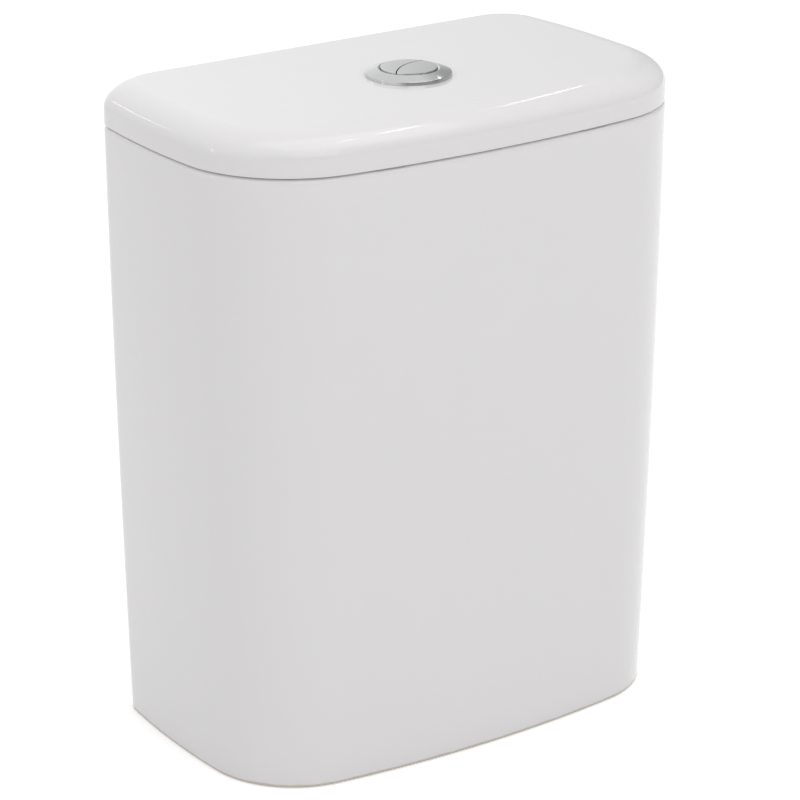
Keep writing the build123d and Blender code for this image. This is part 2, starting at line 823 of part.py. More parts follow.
# Head of the tower: slotted plate with two pairs of ears
with BuildPart() as tower_head:
    with BuildSketch(valve_frame.offset(tower_top)):
        Circle(head_r)
        with Locations((head_slot_centre_u, 0)):
            Rectangle(head_slot_length, head_slot_width, mode=Mode.SUBTRACT)
    extrude(amount=head_thickness)
    for lever_u, side, lever_name in levers:
        for ear_start, ear_end in lever_sides(lever_u):
            with BuildSketch(across_valve(ear_start)):
                with Locations((side * pivot_v, head_top + pivot_above_head / 2)):
                    Rectangle(2 * ear_r, pivot_above_head)
                with Locations((side * pivot_v, pivot_height)):
                    Circle(ear_r)
                    Circle(lever_pin_r, mode=Mode.SUBTRACT)
            extrude(amount=ear_end - ear_start)
        for step in (-1, 1):
            guide_near = lever_u + step * (yoke_hook_width / 2 + leg_guide_play)
            guide_u = sorted((guide_near, guide_near + step * leg_guide_thickness))
            guide_v = sorted((side * leg_guide_v, side * (yoke_leg_v + yoke_leg_thickness)))
            add_block(valve_frame, tower_top, head_top, *guide_u, *guide_v)
finish(tower_head, "tower_head")

with BuildPart() as lever_pins:
    for lever_u, side, lever_name in levers:
        pin_start = lever_sides(lever_u)[0][0]
        pin_end = lever_sides(lever_u)[1][1]
        with BuildSketch(across_valve(pin_start)):
            with Locations((side * pivot_v, pivot_height)):
                Circle(lever_pin_r)
        extrude(amount=pin_end - pin_start)
finish(lever_pins, "lever_pins")


def make_lever(u, side):
    """Rocker: the rod pushes its pad down, its nose lifts the yoke."""
    half_thickness = lever_thickness / 2
    with BuildPart() as lever:
        with BuildSketch(across_valve(u - lever_width / 2)):
            with Locations((side * (nose_v - pad_end_v) / 2, pivot_height)):
                Rectangle(nose_v + pad_end_v, lever_thickness)
            with Locations((side * nose_v, pivot_height), (-side * pad_end_v, pivot_height)):
                Circle(half_thickness)
            with Locations((side * pivot_v, pivot_height)):
                Circle(lever_hub_r)
                Circle(lever_pin_r + lever_pin_play, mode=Mode.SUBTRACT)
        extrude(amount=lever_width)
    return lever


for lever_u, side, lever_name in levers:
    finish(make_lever(lever_u, side), lever_name)

# Overflow tube with the disc that carries the seal
with BuildPart() as overflow_tube:
    retainer_bottom = seat_top - retainer_thickness
    add_tube(retainer_bottom, seat_top + overflow_top, overflow_r, overflow_r - overflow_wall, outlet_centre)
    add_tube(seal_top, disc_top, piston_disc_r, overflow_r - overflow_wall, outlet_centre)
finish(overflow_tube, "overflow_tube")

with BuildPart() as flush_seal:
    add_tube(seat_top, seal_top, piston_disc_r, flush_seal_inner_r, outlet_centre)
finish(flush_seal, "flush_seal")

with BuildPart() as seal_retainer:
    add_tube(retainer_bottom, seat_top, retainer_r, overflow_r, outlet_centre)
    add_tube(seat_top, seal_top, flush_seal_inner_r, overflow_r, outlet_centre)
finish(seal_retainer, "seal_retainer")

with BuildPart() as full_flush_float:
    full_float_low = seat_top + full_float_from_seat
    full_float_bore = overflow_r + full_float_play
    add_tube(full_float_low, full_float_low + full_float_height, full_float_r, full_float_bore, outlet_centre)
finish(full_flush_float, "full_flush_float")

yoke_low = seat_top + yoke_from_seat
bar_high = yoke_low + yoke_bar_height
half_bar = yoke_bar_width / 2
leg_outer_v = yoke_leg_v + yoke_leg_thickness


def add_leg(lever_u, side, low):
    """Leg outside the tower, from the bar up to a hook over the nose of a lever."""
    hook_low = lever_top + touch_gap
    hook_high = hook_low + yoke_hook_thickness
    hook_u = (lever_u - yoke_hook_width / 2, lever_u + yoke_hook_width / 2)
    foot_u = (min(hook_u[0], -half_bar), max(hook_u[1], half_bar))
    leg_v = sorted((side * yoke_leg_v, side * leg_outer_v))
    hook_v = sorted((side * (leg_outer_v - yoke_hook_reach), side * leg_outer_v))
    add_block(valve_frame, low, bar_high, *foot_u, *leg_v)
    add_block(valve_frame, low, hook_high, *hook_u, *leg_v)
    add_block(valve_frame, hook_low, hook_high, *hook_u, *hook_v)


# Yoke: bar through the windows of the tower, and a leg with a hook over the lever of the large button
with BuildPart() as lift_yoke:
    bar_end_v = yoke_leg_v - yoke_bar_end_play
    add_block(valve_frame, yoke_low, bar_high, -half_bar, half_bar, -bar_end_v, leg_outer_v)
    add_tube(yoke_low, bar_high, yoke_collar_r, 0, outlet_centre)
    add_tube(yoke_low, bar_high, overflow_r + full_float_play, 0, outlet_centre, Mode.SUBTRACT)
    add_leg(full_rod_u, 1, yoke_low)
finish(lift_yoke, "lift_yoke")

# Link: a leg with a hook over the lever of the small button, and a foot under the end of the bar
with BuildPart() as half_lift_link:
    foot_high = yoke_low - touch_gap
    foot_low = foot_high - link_foot_thickness
    add_leg(half_rod_u, -1, foot_low)
    add_block(
        valve_frame, foot_low, foot_high, -half_bar, half_bar, -leg_outer_v, link_foot_reach - leg_outer_v,
    )
finish(half_lift_link, "half_lift_link")

# Coupling bolts with their washers and wing nuts, a pair of each
cone_top = floor_top + cone_washer_height
head_seat = cone_top + steel_washer_thickness
outer_rubber_low = underside_recess - outer_rubber_thickness
outer_steel_low = outer_rubber_low - steel_washer_thickness
wing_hub_low = outer_steel_low - wing_hub_height
washer_bore = bolt_r + bolt_play

bolt_free_top = bolt_end_height + bolt_free_end
with BuildPart() as coupling_bolts:
    for centre in bolt_centres:
        add_tube(bolt_end_height, bolt_free_top, bolt_r, 0, centre)
        add_tube(bolt_free_top, head_seat, bolt_neck_r, 0, centre)
        add_tube(head_seat, head_seat + bolt_head_height, bolt_head_r, 0, centre)
    head_rims = edges().filter_by(GeomType.CIRCLE).group_by(Axis.Z)[-1]
    fillet(head_rims, bolt_head_dome)
    head_high = head_seat + bolt_head_height
    for x, y in bolt_centres:
        add_block(
            Plane.XY, head_high - bolt_slot_depth, head_high + overrun, x - bolt_head_r, x + bolt_head_r,
            y - bolt_slot_width / 2, y + bolt_slot_width / 2, Mode.SUBTRACT,
        )
finish(coupling_bolts, "coupling_bolts")

with BuildPart() as bolt_cone_washers:
    for x, y in bolt_centres:
        bolt_side = Plane(origin=(x, y, 0), x_dir=(1, 0, 0), z_dir=(0, -1, 0))
        spigot_r = bolt_hole_r - cone_spigot_play
        revolve_profile(
            bolt_side, Axis((x, y, 0), (0, 0, 1)),
            [
                (washer_bore, floor_top - cone_spigot_depth),
                (spigot_r, floor_top - cone_spigot_depth),
                (spigot_r, floor_top),
                (cone_washer_r, floor_top),
                (cone_washer_top_r, cone_top),
                (washer_bore, cone_top),
            ],
        )
finish(bolt_cone_washers, "bolt_cone_washers")


def make_washer_pair(low, high, outer_r):
    """Two flat washers, one on each coupling bolt."""
    with BuildPart() as pair:
        for centre in bolt_centres:
            add_tube(low, high, outer_r, washer_bore, centre)
    return pair


finish(make_washer_pair(cone_top, head_seat, steel_washer_r), "bolt_inner_washers")
finish(make_washer_pair(outer_rubber_low, underside_recess, steel_washer_r), "bolt_outer_rubbers")
finish(make_washer_pair(outer_steel_low, outer_rubber_low, steel_washer_r), "bolt_outer_washers")

with BuildPart() as wing_nuts:
    wing_low = outer_steel_low - wing_height
    for x, y in bolt_centres:
        add_block(
            Plane.XY, wing_low, outer_steel_low - wing_hub_height / 3,
            x - wing_thickness / 2, x + wing_thickness / 2, y - wing_span / 2, y + wing_span / 2,
        )
    chamfer(edges().filter_by(Axis.X).group_by(Axis.Z)[0], wing_height / 3)
    for centre in bolt_centres:
        add_tube(wing_low, outer_steel_low, wing_hub_r, 0, centre, Mode.SUBTRACT)
        add_tube(wing_hub_low, outer_steel_low, wing_hub_r, washer_bore, centre)
finish(wing_nuts, "wing_nuts")

# Threaded inlet and lower tube of the fill valve
inlet_bottom = underside_recess - inlet_below_floor
fill_nut_low = underside_recess - fill_nut_height
with BuildPart() as fill_shank:
    free_thread_top = inlet_bottom + inlet_free_thread
    add_tube(inlet_bottom, free_thread_top, inlet_thread_r, inlet_bore_r, fill_centre)
    add_tube(free_thread_top, fill_flange_bottom, inlet_neck_r, inlet_bore_r, fill_centre)
    add_tube(fill_flange_bottom, fill_flange_top, fill_flange_r, inlet_bore_r, fill_centre)
    add_tube(fill_flange_top, lower_tube_top, lower_tube_r, lower_tube_r - lower_tube_wall, fill_centre)
    add_tube(fill_flange_top, fill_flange_top + lower_tube_floor, lower_tube_r, inlet_bore_r, fill_centre)
finish(fill_shank, "fill_shank")

with BuildPart() as fill_shank_washer:
    add_tube(floor_top, fill_flange_bottom, fill_flange_r, inlet_neck_r + fill_washer_play, fill_centre)
finish(fill_shank_washer, "fill_shank_washer")

with BuildPart() as fill_backnut:
    with BuildSketch(Plane.XY.offset(fill_nut_low)):
        with Locations(fill_centre):
            RegularPolygon(fill_nut_corner_r, fill_nut_sides)
            Circle(inlet_neck_r + thread_play, mode=Mode.SUBTRACT)
    extrude(amount=fill_nut_height)
finish(fill_backnut, "fill_backnut")

with BuildPart() as inlet_filter:
    filter_low = inlet_bottom + filter_inset
    filter_high = filter_low + filter_height
    filter_r = inlet_bore_r - filter_play
    add_tube(filter_low, filter_high, filter_r, filter_r - filter_wall, fill_centre)
    add_tube(filter_high - filter_end_thickness, filter_high, filter_r, 0, fill_centre)
finish(inlet_filter, "inlet_filter")

with BuildPart() as fill_riser:
    add_tube(riser_bottom, riser_top, riser_r, riser_r - riser_wall, fill_centre)
finish(fill_riser, "fill_riser")

with BuildPart() as riser_lock_ring:
    with BuildSketch(Plane.XY.offset(lower_tube_top)):
        with Locations(fill_centre):
            Circle(lock_ring_r)
            with PolarLocations(lock_ring_r, lock_ring_ribs):
                Circle(lock_ring_rib_r)
            Circle(riser_r + riser_play, mode=Mode.SUBTRACT)
    extrude(amount=lock_ring_height)
finish(riser_lock_ring, "riser_lock_ring")

# Head of the fill valve: socket on the riser, water way, diaphragm and cap
with BuildPart() as fill_head:
    neck_top = fill_head_bottom + fill_head_neck
    socket_r = riser_r + riser_play
    revolve_profile(
        fill_side, fill_axis,
        [
            (socket_r, fill_head_bottom),
            (fill_head_r - (fill_head_neck / 2), fill_head_bottom),
            (fill_head_r, neck_top),
            (fill_head_r, fill_head_top),
            (riser_r - riser_wall, fill_head_top),
            (riser_r - riser_wall, riser_top),
            (socket_r, riser_top),
        ],
    )
finish(fill_head, "fill_head")

with BuildPart() as diaphragm:
    add_tube(fill_head_top, fill_head_top + diaphragm_thickness, diaphragm_r, 0, fill_centre)
finish(diaphragm, "diaphragm")

arm_ear_start = arm_width / 2 + ear_gap
with BuildPart() as head_cap:
    cap_ceiling = fill_head_top + diaphragm_thickness
    add_tube(cap_ceiling - diaphragm_thickness - head_cap_skirt, cap_top, head_cap_r, 0, fill_centre)
    add_tube(
        cap_ceiling - diaphragm_thickness - head_cap_skirt, cap_ceiling, fill_head_r + head_cap_play, 0,
        fill_centre, Mode.SUBTRACT,
    )
    fillet(edges().filter_by(GeomType.CIRCLE).group_by(Axis.Z)[-1], head_cap_top / 3)
    for ear_y in (fill_y - arm_ear_start, fill_y + arm_ear_start + arm_ear_thickness):
        with BuildSketch(Plane.XZ.offset(-ear_y)):
            with Locations((arm_pivot_x, (cap_top + arm_pivot_height - diaphragm_thickness) / 2)):
                Rectangle(2 * arm_ear_r, arm_pivot_above_cap + diaphragm_thickness)
            with Locations((arm_pivot_x, arm_pivot_height)):
                Circle(arm_ear_r)
                Circle(arm_pin_r, mode=Mode.SUBTRACT)
        extrude(amount=arm_ear_thickness)
finish(head_cap, "head_cap")

with BuildPart() as arm_pin:
    pin_half = arm_ear_start + arm_ear_thickness
    with BuildSketch(Plane.XZ.offset(-fill_y - pin_half)):
        with Locations((arm_pivot_x, arm_pivot_height)):
            Circle(arm_pin_r)
    extrude(amount=2 * pin_half)
finish(arm_pin, "arm_pin")

# Arm: tilted down while the float hangs low, with a slotted eye round the float rod
arm_frame = Plane(
    origin=(arm_pivot_x, fill_y, arm_pivot_height),
    x_dir=(-math.cos(math.radians(arm_tilt)), 0, -math.sin(math.radians(arm_tilt))),
    z_dir=(-math.sin(math.radians(arm_tilt)), 0, math.cos(math.radians(arm_tilt))),
)
eye_reach = arm_length / math.cos(math.radians(arm_tilt))
with BuildPart() as float_arm:
    half_arm = arm_thickness / 2
    add_block(arm_frame, -half_arm, half_arm, -arm_tail, eye_reach, -arm_width / 2, arm_width / 2)
    with BuildSketch(arm_frame.offset(-half_arm)):
        with Locations((eye_reach, 0)):
            SlotOverall(arm_eye_length, arm_eye_width)
    extrude(amount=arm_thickness)
    with BuildSketch(Plane.XZ.offset(-fill_y - arm_width / 2)):
        with Locations((arm_pivot_x, arm_pivot_height)):
            Circle(arm_hub_r)
    extrude(amount=arm_width)
    with BuildSketch(arm_frame.offset(-half_arm)):
        with Locations((eye_reach, 0)):
            SlotOverall(arm_slot_length, arm_slot_width)
    extrude(amount=arm_thickness, mode=Mode.SUBTRACT)
    with BuildSketch(Plane.XZ.offset(-fill_y - arm_width / 2)):
        with Locations((arm_pivot_x, arm_pivot_height)):
            Circle(arm_pin_r + arm_pin_play)
    extrude(amount=arm_width, mode=Mode.SUBTRACT)
finish(float_arm, "float_arm")

# Float cup round the riser, its rod and the clips that hold the arm
with BuildPart() as fill_float:
    add_tube(float_bottom, float_top, float_r, 0, fill_centre)
    fillet(edges().filter_by(GeomType.CIRCLE), float_round)
    add_tube(float_bottom, float_top, riser_r + float_play, 0, fill_centre, Mode.SUBTRACT)
finish(fill_float, "fill_float")

with BuildPart() as float_rod:
    add_tube(float_top, eye_height + float_rod_above_arm, float_rod_r, 0, (float_rod_x, fill_y))
finish(float_rod, "float_rod")

with BuildPart() as rod_clips:
    clip_gap = arm_thickness / 2 + rod_clip_play
    for low in (eye_height - clip_gap - rod_clip_height, eye_height + clip_gap):
        add_tube(low, low + rod_clip_height, rod_clip_r, float_rod_r, (float_rod_x, fill_y))
finish(rod_clips, "rod_clips")
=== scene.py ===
import bpy
import bmesh
import math
from collections import namedtuple
from mathutils import Matrix, Vector


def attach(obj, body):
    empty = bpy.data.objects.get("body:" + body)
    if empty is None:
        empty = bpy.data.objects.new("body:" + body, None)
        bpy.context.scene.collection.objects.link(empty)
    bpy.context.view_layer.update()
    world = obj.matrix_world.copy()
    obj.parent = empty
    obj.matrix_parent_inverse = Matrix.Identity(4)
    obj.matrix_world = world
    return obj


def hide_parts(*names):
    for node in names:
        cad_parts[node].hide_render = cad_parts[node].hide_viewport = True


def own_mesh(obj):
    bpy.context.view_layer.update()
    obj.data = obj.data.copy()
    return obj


# Glazed close-coupled cistern with its push-button unit, flush valve and fill valve.
# Sizes below are millimetres and repeat the part's own. Meshes are made in metres.

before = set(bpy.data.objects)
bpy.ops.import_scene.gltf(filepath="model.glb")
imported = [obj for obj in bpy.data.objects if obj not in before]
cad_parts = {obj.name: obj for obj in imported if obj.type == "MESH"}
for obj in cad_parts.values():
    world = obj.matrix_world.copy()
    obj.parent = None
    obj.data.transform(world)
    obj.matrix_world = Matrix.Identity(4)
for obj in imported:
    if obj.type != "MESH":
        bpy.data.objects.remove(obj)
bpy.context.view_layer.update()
MM = 0.001

# Body
overall_width = 365.0
overall_depth = 205.6
body_height = 420.5
foot_width = 344.0
foot_draw_in = 10.4
front_bow_r = 926.0
foot_front_bow_r = 833.0
side_bow_r = 620.0
side_widest_y = 10.9
front_corner_r = 80.0
foot_front_corner_r = 65.7
back_corner_r = 21.3
foot_back_corner_r = 14.5
least_corner_r = 3.0
barrel_swell = 1.2
body_wall = 9.0
skirt_wall = 10.0
recess_ceiling = 52.0
floor_top = 64.0
floor_cove = 6.0
back_y = overall_depth / 2
front_y = -overall_depth / 2

# Openings in the body
outlet = (0.0, -2.5)
outlet_hole_r = 32.0
bolt_spots = [(-75.0, outlet[1]), (75.0, outlet[1])]
bolt_hole_r = 6.0
inlet_spot = (112.0, 20.0)
inlet_hole_r = 12.28
wall_hole_x = (-110.0, 110.0)
wall_hole_drop = 48.0
wall_hole_r = 4.5
notch_half_width = 100.0
notch_height = 40.0
notch_corner_r = 12.0
overrun = 3.0

# Lid
lid_low = 421.5
lid_height = 26.3
lid_band = 10.8
lid_round_in = 25.1
lid_round_in_back = 3.0
lid_rib_outer = 11.5
lid_rib_inner = 17.5
lid_rib_depth = 6.0
lid_rib_corner_r = 9.0
lid_ceiling = 437.8
lid_top = lid_low + lid_height
lid_hole_r = 22.0

# Push buttons
bezel_r = 28.65
button_r = 18.6
button_bore_r = 19.0
button_top_height = 6.3
cap_thickness = 2.5
cap_skirt_height = 9.0
cup_depth = 32.0
button_top = lid_top + button_top_height
button_underside = button_top - cap_thickness
skirt_bottom = button_top - cap_skirt_height
spring_floor = lid_top - cup_depth
spring_seat = 0.1
wire_r = 0.35
coil_r = 2.9
full_rod_offset = -7.8
half_rod_offset = 13.2
divider_r = 42.6
divider_offset = 38.1
divider_side_offset = 9.9
divider_angle = math.radians(130.4)
divider_centre = (
    outlet[0] - divider_offset * math.cos(divider_angle) - divider_side_offset * math.sin(divider_angle),
    outlet[1] - divider_offset * math.sin(divider_angle) + divider_side_offset * math.cos(divider_angle),
)

# Places of the two glazes in the materials of the body and the lid
GLAZED, WASHED = 0, 1


def swing(first, second, angle):
    """Two crossed directions, turned together by an angle."""
    return (
        first * math.cos(angle) + second * math.sin(angle),
        second * math.cos(angle) - first * math.sin(angle),
    )


def place_camera():
    """Camera of the photograph, from its fitted direction, distance and lens."""
    azimuth, elevation, distance, aim_height = -0.612196, 0.354778, 2.36604, 0.214907
    yaw, pitch, roll = -0.0019418, 0.0022689, -0.000752
    back = Vector((
        math.sin(azimuth) * math.cos(elevation),
        -math.cos(azimuth) * math.cos(elevation),
        math.sin(elevation),
    ))
    right = Vector((math.cos(azimuth), math.sin(azimuth), 0))
    up = back.cross(right)
    forward, right = swing(-back, right, yaw)
    forward, up = swing(forward, up, pitch)
    right, up = swing(right, up, roll)
    data = bpy.data.cameras.new("photo_camera")
    data.sensor_width = 36.0
    data.lens = 157.302
    data.clip_start = 0.05
    data.clip_end = 60.0
    camera = bpy.data.objects.new("photo_camera", data)
    bpy.context.scene.collection.objects.link(camera)
    facing = Matrix((right, up, -forward)).transposed().to_4x4()
    camera.matrix_world = Matrix.Translation(Vector((0, 0, aim_height)) + back * distance) @ facing
    bpy.context.scene.camera = camera


place_camera()


def feed(tree, socket, value):
    """Sets a socket to a plain value, or links it to another socket."""
    if isinstance(value, (int, float, tuple)):
        socket.default_value = value
    else:
        tree.links.new(value, socket)


def new_group(name, inputs, outputs, kind_of_tree="ShaderNodeTree"):
    """Node group whose inputs and outputs are given as labels, each with its kind."""
    group = bpy.data.node_groups.new(name, kind_of_tree)
    for side, sockets in (("INPUT", inputs), ("OUTPUT", outputs)):
        for label, kind in sockets.items():
            group.interface.new_socket(name=label, in_out=side, socket_type=f"NodeSocket{kind}")
    given, result = group.nodes.new("NodeGroupInput"), group.nodes.new("NodeGroupOutput")
    return group, given.outputs, result.inputs


def add_noise(tree, vector, scale, detail, roughness=0.5):
    noise = tree.nodes.new("ShaderNodeTexNoise")
    values = {"Vector": vector, "Scale": scale, "Detail": detail, "Roughness": roughness}
    for label, value in values.items():
        feed(tree, noise.inputs[label], value)
    return noise.outputs["Fac"]


def add_math(tree, operation, first, second):
    node = tree.nodes.new("ShaderNodeMath")
    node.operation = operation
    feed(tree, node.inputs[0], first)
    feed(tree, node.inputs[1], second)
    return node.outputs[0]


def add_range(tree, value, taken, wanted):
    """Value mapped from the range that is taken to the one that is wanted, held at both ends."""
    node = tree.nodes.new("ShaderNodeMapRange")
    labels = ("Value", "From Min", "From Max", "To Min", "To Max")
    for label, limit in zip(labels, (value, *taken, *wanted)):
        feed(tree, node.inputs[label], limit)
    return node.outputs["Result"]


def add_mix(tree, factor, first, second):
    """Colour between two others, by a factor."""
    node = tree.nodes.new("ShaderNodeMix")
    node.data_type = "RGBA"
    sockets = [socket for socket in node.inputs if socket.enabled]
    for socket, value in zip(sockets, (factor, first, second)):
        feed(tree, socket, value)
    return [socket for socket in node.outputs if socket.enabled][0]


surface_outputs = {"Colour": "Color", "Roughness": "Float", "Height": "Float"}


def grade_roughness(group, given, result, pattern, taken):
    """Roughness between the group's two limits, after a pattern."""
    limits = (given["Roughness Low"], given["Roughness High"])
    feed(group, result["Roughness"], add_range(group, pattern, taken, limits))


def make_glaze_group():
    """Fired glaze: faint clouds of shade, slow ripples where it ran, a few pinholes."""
    pinhole_shade, pinhole_range, pinhole_depth = (0.42, 0.39, 0.35, 1), (0.79, 0.84), -0.2
    peel_share = 0.06
    group, given, result = new_group(
        "fired_glaze",
        {
            "Vector": "Vector", "Colour": "Color", "Cloud Shade": "Color", "Cloud Amount": "Float",
            "Roughness Low": "Float", "Roughness High": "Float", "Pinholes": "Float",
        },
        surface_outputs,
    )
    clouds = add_noise(group, given["Vector"], scale=9.0, detail=3.0)
    cloud_mask = add_math(group, "MULTIPLY", clouds, given["Cloud Amount"])
    shaded = add_mix(group, cloud_mask, given["Colour"], given["Cloud Shade"])
    specks = add_noise(group, given["Vector"], scale=1100.0, detail=1.0)
    speck_mask = add_range(group, specks, pinhole_range, (0.0, given["Pinholes"]))
    feed(group, result["Colour"], add_mix(group, speck_mask, shaded, pinhole_shade))
    smears = add_noise(group, given["Vector"], scale=26.0, detail=4.0)
    grade_roughness(group, given, result, smears, taken=(0.35, 0.7))
    ripples = add_noise(group, given["Vector"], scale=30.0, detail=1.0)
    peel = add_noise(group, given["Vector"], scale=260.0, detail=1.0)
    waves = add_math(group, "ADD", ripples, add_math(group, "MULTIPLY", peel, peel_share))
    dents = add_math(group, "MULTIPLY", speck_mask, pinhole_depth)
    feed(group, result["Height"], add_math(group, "ADD", waves, dents))
    return group


def make_foot_group():
    """Mask of the bare foot, where the glaze was wiped off before firing."""
    waver_height, line_blur = 0.0016, 0.0004
    group, given, result = new_group(
        "wiped_foot", {"Vector": "Vector", "Line Height": "Float"}, {"Mask": "Float", "Grit": "Float"},
    )
    split = group.nodes.new("ShaderNodeSeparateXYZ")
    feed(group, split.inputs[0], given["Vector"])
    waver = add_noise(group, given["Vector"], scale=90.0, detail=3.0)
    line = add_math(group, "ADD", given["Line Height"], add_math(group, "MULTIPLY", waver, waver_height))
    gap = add_math(group, "SUBTRACT", line, split.outputs["Z"])
    feed(group, result["Mask"], add_range(group, gap, (0.0, line_blur), (0.0, 1.0)))
    grit = add_noise(group, given["Vector"], scale=900.0, detail=6.0, roughness=0.7)
    feed(group, result["Grit"], grit)
    return group


def make_moulded_group():
    """Moulded surface: fine spark grain, and slow tone changes drawn out along the height."""
    drawn_out = (1.0, 1.0, 0.35)
    group, given, result = new_group(
        "moulded_skin",
        {
            "Vector": "Vector", "Colour": "Color", "Tone": "Color", "Tone Amount": "Float",
            "Grain Scale": "Float", "Roughness Low": "Float", "Roughness High": "Float",
        },
        surface_outputs,
    )
    flow = group.nodes.new("ShaderNodeMapping")
    feed(group, flow.inputs["Scale"], drawn_out)
    feed(group, flow.inputs["Vector"], given["Vector"])
    tones = add_noise(group, flow.outputs["Vector"], scale=55.0, detail=4.0, roughness=0.6)
    tone_mask = add_math(group, "MULTIPLY", tones, given["Tone Amount"])
    feed(group, result["Colour"], add_mix(group, tone_mask, given["Colour"], given["Tone"]))
    grade_roughness(group, given, result, tones, taken=(0.35, 0.7))
    grain = add_noise(group, given["Vector"], given["Grain Scale"], detail=3.0, roughness=0.6)
    feed(group, result["Height"], grain)
    return group


def make_plated_group():
    """Plated or drawn metal: fine rub marks across one direction and a faint haze."""
    group, given, result = new_group(
        "plated_skin",
        {
            "Vector": "Vector", "Colour": "Color", "Haze": "Color", "Rub Stretch": "Vector",
            "Roughness Low": "Float", "Roughness High": "Float",
        },
        surface_outputs,
    )
    stretch = group.nodes.new("ShaderNodeVectorMath")
    stretch.operation = "MULTIPLY"
    feed(group, stretch.inputs[0], given["Vector"])
    feed(group, stretch.inputs[1], given["Rub Stretch"])
    rubs = add_noise(group, stretch.outputs[0], scale=700.0, detail=4.0, roughness=0.65)
    haze = add_noise(group, given["Vector"], scale=120.0, detail=3.0)
    feed(group, result["Colour"], add_mix(group, haze, given["Colour"], given["Haze"]))
    grade_roughness(group, given, result, rubs, taken=(0.3, 0.75))
    feed(group, result["Height"], rubs)
    return group


glaze_group = make_glaze_group()
foot_group = make_foot_group()
moulded_group = make_moulded_group()
plated_group = make_plated_group()

Finish = namedtuple("Finish", "material tree shader effect bump coords")


def start_finish(name, group, settings, bump, constants=None):
    """Material with one effect group feeding colour, roughness and bump of a Principled shader."""
    material = bpy.data.materials.new(name)
    material.use_nodes = True
    tree = material.node_tree
    shader = tree.nodes["Principled BSDF"]
    coords = tree.nodes.new("ShaderNodeTexCoord")
    effect = tree.nodes.new("ShaderNodeGroup")
    effect.node_tree = group
    feed(tree, effect.inputs["Vector"], coords.outputs["Object"])
    for label, value in settings.items():
        feed(tree, effect.inputs[label], value)
    relief = tree.nodes.new("ShaderNodeBump")
    relief.inputs["Distance"].default_value, relief.inputs["Strength"].default_value = bump
    feed(tree, relief.inputs["Height"], effect.outputs["Height"])
    feed(tree, shader.inputs["Base Color"], effect.outputs["Colour"])
    feed(tree, shader.inputs["Roughness"], effect.outputs["Roughness"])
    feed(tree, shader.inputs["Normal"], relief.outputs["Normal"])
    for label, value in (constants or {}).items():
        feed(tree, shader.inputs[label], value)
    return Finish(material, tree, shader, effect, relief, coords)


def make_china():
    """White glaze outside, with the bare fired body showing along the wiped foot."""
    bare_light, bare_dark, bare_roughness = (0.70, 0.65, 0.57, 1), (0.56, 0.51, 0.44, 1), 0.85
    foot_line = 0.0016
    made = start_finish(
        "glazed_china", glaze_group,
        {
            "Colour": (0.818, 0.803, 0.809, 1), "Cloud Shade": (0.794, 0.778, 0.782, 1),
            "Cloud Amount": 0.5, "Roughness Low": 0.05, "Roughness High": 0.11, "Pinholes": 0.12,
        },
        bump=(0.0003, 0.35),
        constants={"IOR": 1.5, "Coat Roughness": 0.03, "Coat Weight": 0.25},
    )
    foot = made.tree.nodes.new("ShaderNodeGroup")
    foot.node_tree = foot_group
    feed(made.tree, foot.inputs["Vector"], made.coords.outputs["Object"])
    feed(made.tree, foot.inputs["Line Height"], foot_line)
    bare = add_mix(made.tree, foot.outputs["Grit"], bare_light, bare_dark)
    colour = add_mix(made.tree, foot.outputs["Mask"], made.effect.outputs["Colour"], bare)
    feed(made.tree, made.shader.inputs["Base Color"], colour)
    rough_range = (made.effect.outputs["Roughness"], bare_roughness)
    rough = add_range(made.tree, foot.outputs["Mask"], (0.0, 1.0), rough_range)
    feed(made.tree, made.shader.inputs["Roughness"], rough)
    return made.material


def make_inner_china():
    """Thin wash of glaze inside the tank and under the floor: duller, warmer, a little uneven."""
    return start_finish(
        "thin_glazed_china", glaze_group,
        {
            "Colour": (0.78, 0.765, 0.74, 1), "Cloud Shade": (0.70, 0.68, 0.64, 1),
            "Cloud Amount": 0.8, "Roughness Low": 0.28, "Roughness High": 0.5, "Pinholes": 0.5,
        },
        bump=(0.0004, 0.5),
        constants={"IOR": 1.5},
    ).material


def make_moulded(name, colour, tone, amount, grain, rough, bump=(0.00004, 0.35), constants=None):
    return start_finish(
        name, moulded_group,
        {
            "Colour": (*colour, 1), "Tone": (*tone, 1), "Tone Amount": amount, "Grain Scale": grain,
            "Roughness Low": rough[0], "Roughness High": rough[1],
        },
        bump, constants,
    ).material


def make_metal(name, colour, haze, stretch, rough, bump):
    return start_finish(
        name, plated_group,
        {
            "Colour": (*colour, 1), "Haze": (*haze, 1), "Rub Stretch": stretch,
            "Roughness Low": rough[0], "Roughness High": rough[1],
        },
        bump, {"Metallic": 1.0},
    ).material


def make_filter_mesh():
    """Woven strainer: pale threads with painted shade in the openings, wrapped on the cup of the inlet
    filter.
    """
    # The near-black colour of the openings is painted shade, for the dark inside seen through the weave.
    painted_hole_shade, cells_per_metre, opening_edge = (0.03, 0.03, 0.03, 1), 950.0, (0.34, 0.42)
    made = start_finish(
        "strainer_mesh", moulded_group,
        {
            "Colour": (0.42, 0.44, 0.45, 1), "Tone": (0.34, 0.35, 0.36, 1), "Tone Amount": 0.5,
            "Grain Scale": 1600.0, "Roughness Low": 0.35, "Roughness High": 0.5,
        },
        bump=(0.0002, 0.8),
    )
    cells = made.tree.nodes.new("ShaderNodeTexVoronoi")
    cells.feature = "F1"
    feed(made.tree, cells.inputs["Scale"], cells_per_metre)
    feed(made.tree, cells.inputs["Randomness"], 0.0)
    feed(made.tree, cells.inputs["Vector"], made.coords.outputs["Object"])
    shaded_openings = add_range(made.tree, cells.outputs["Distance"], opening_edge, (1.0, 0.0))
    # Painted shade: the openings take the near-black colour, and the same mask also sinks them in the
    # bump.
    colour = add_mix(made.tree, shaded_openings, made.effect.outputs["Colour"], painted_hole_shade)
    feed(made.tree, made.shader.inputs["Base Color"], colour)
    feed(made.tree, made.bump.inputs["Height"], add_math(made.tree, "SUBTRACT", 1.0, shaded_openings))
    return made.material


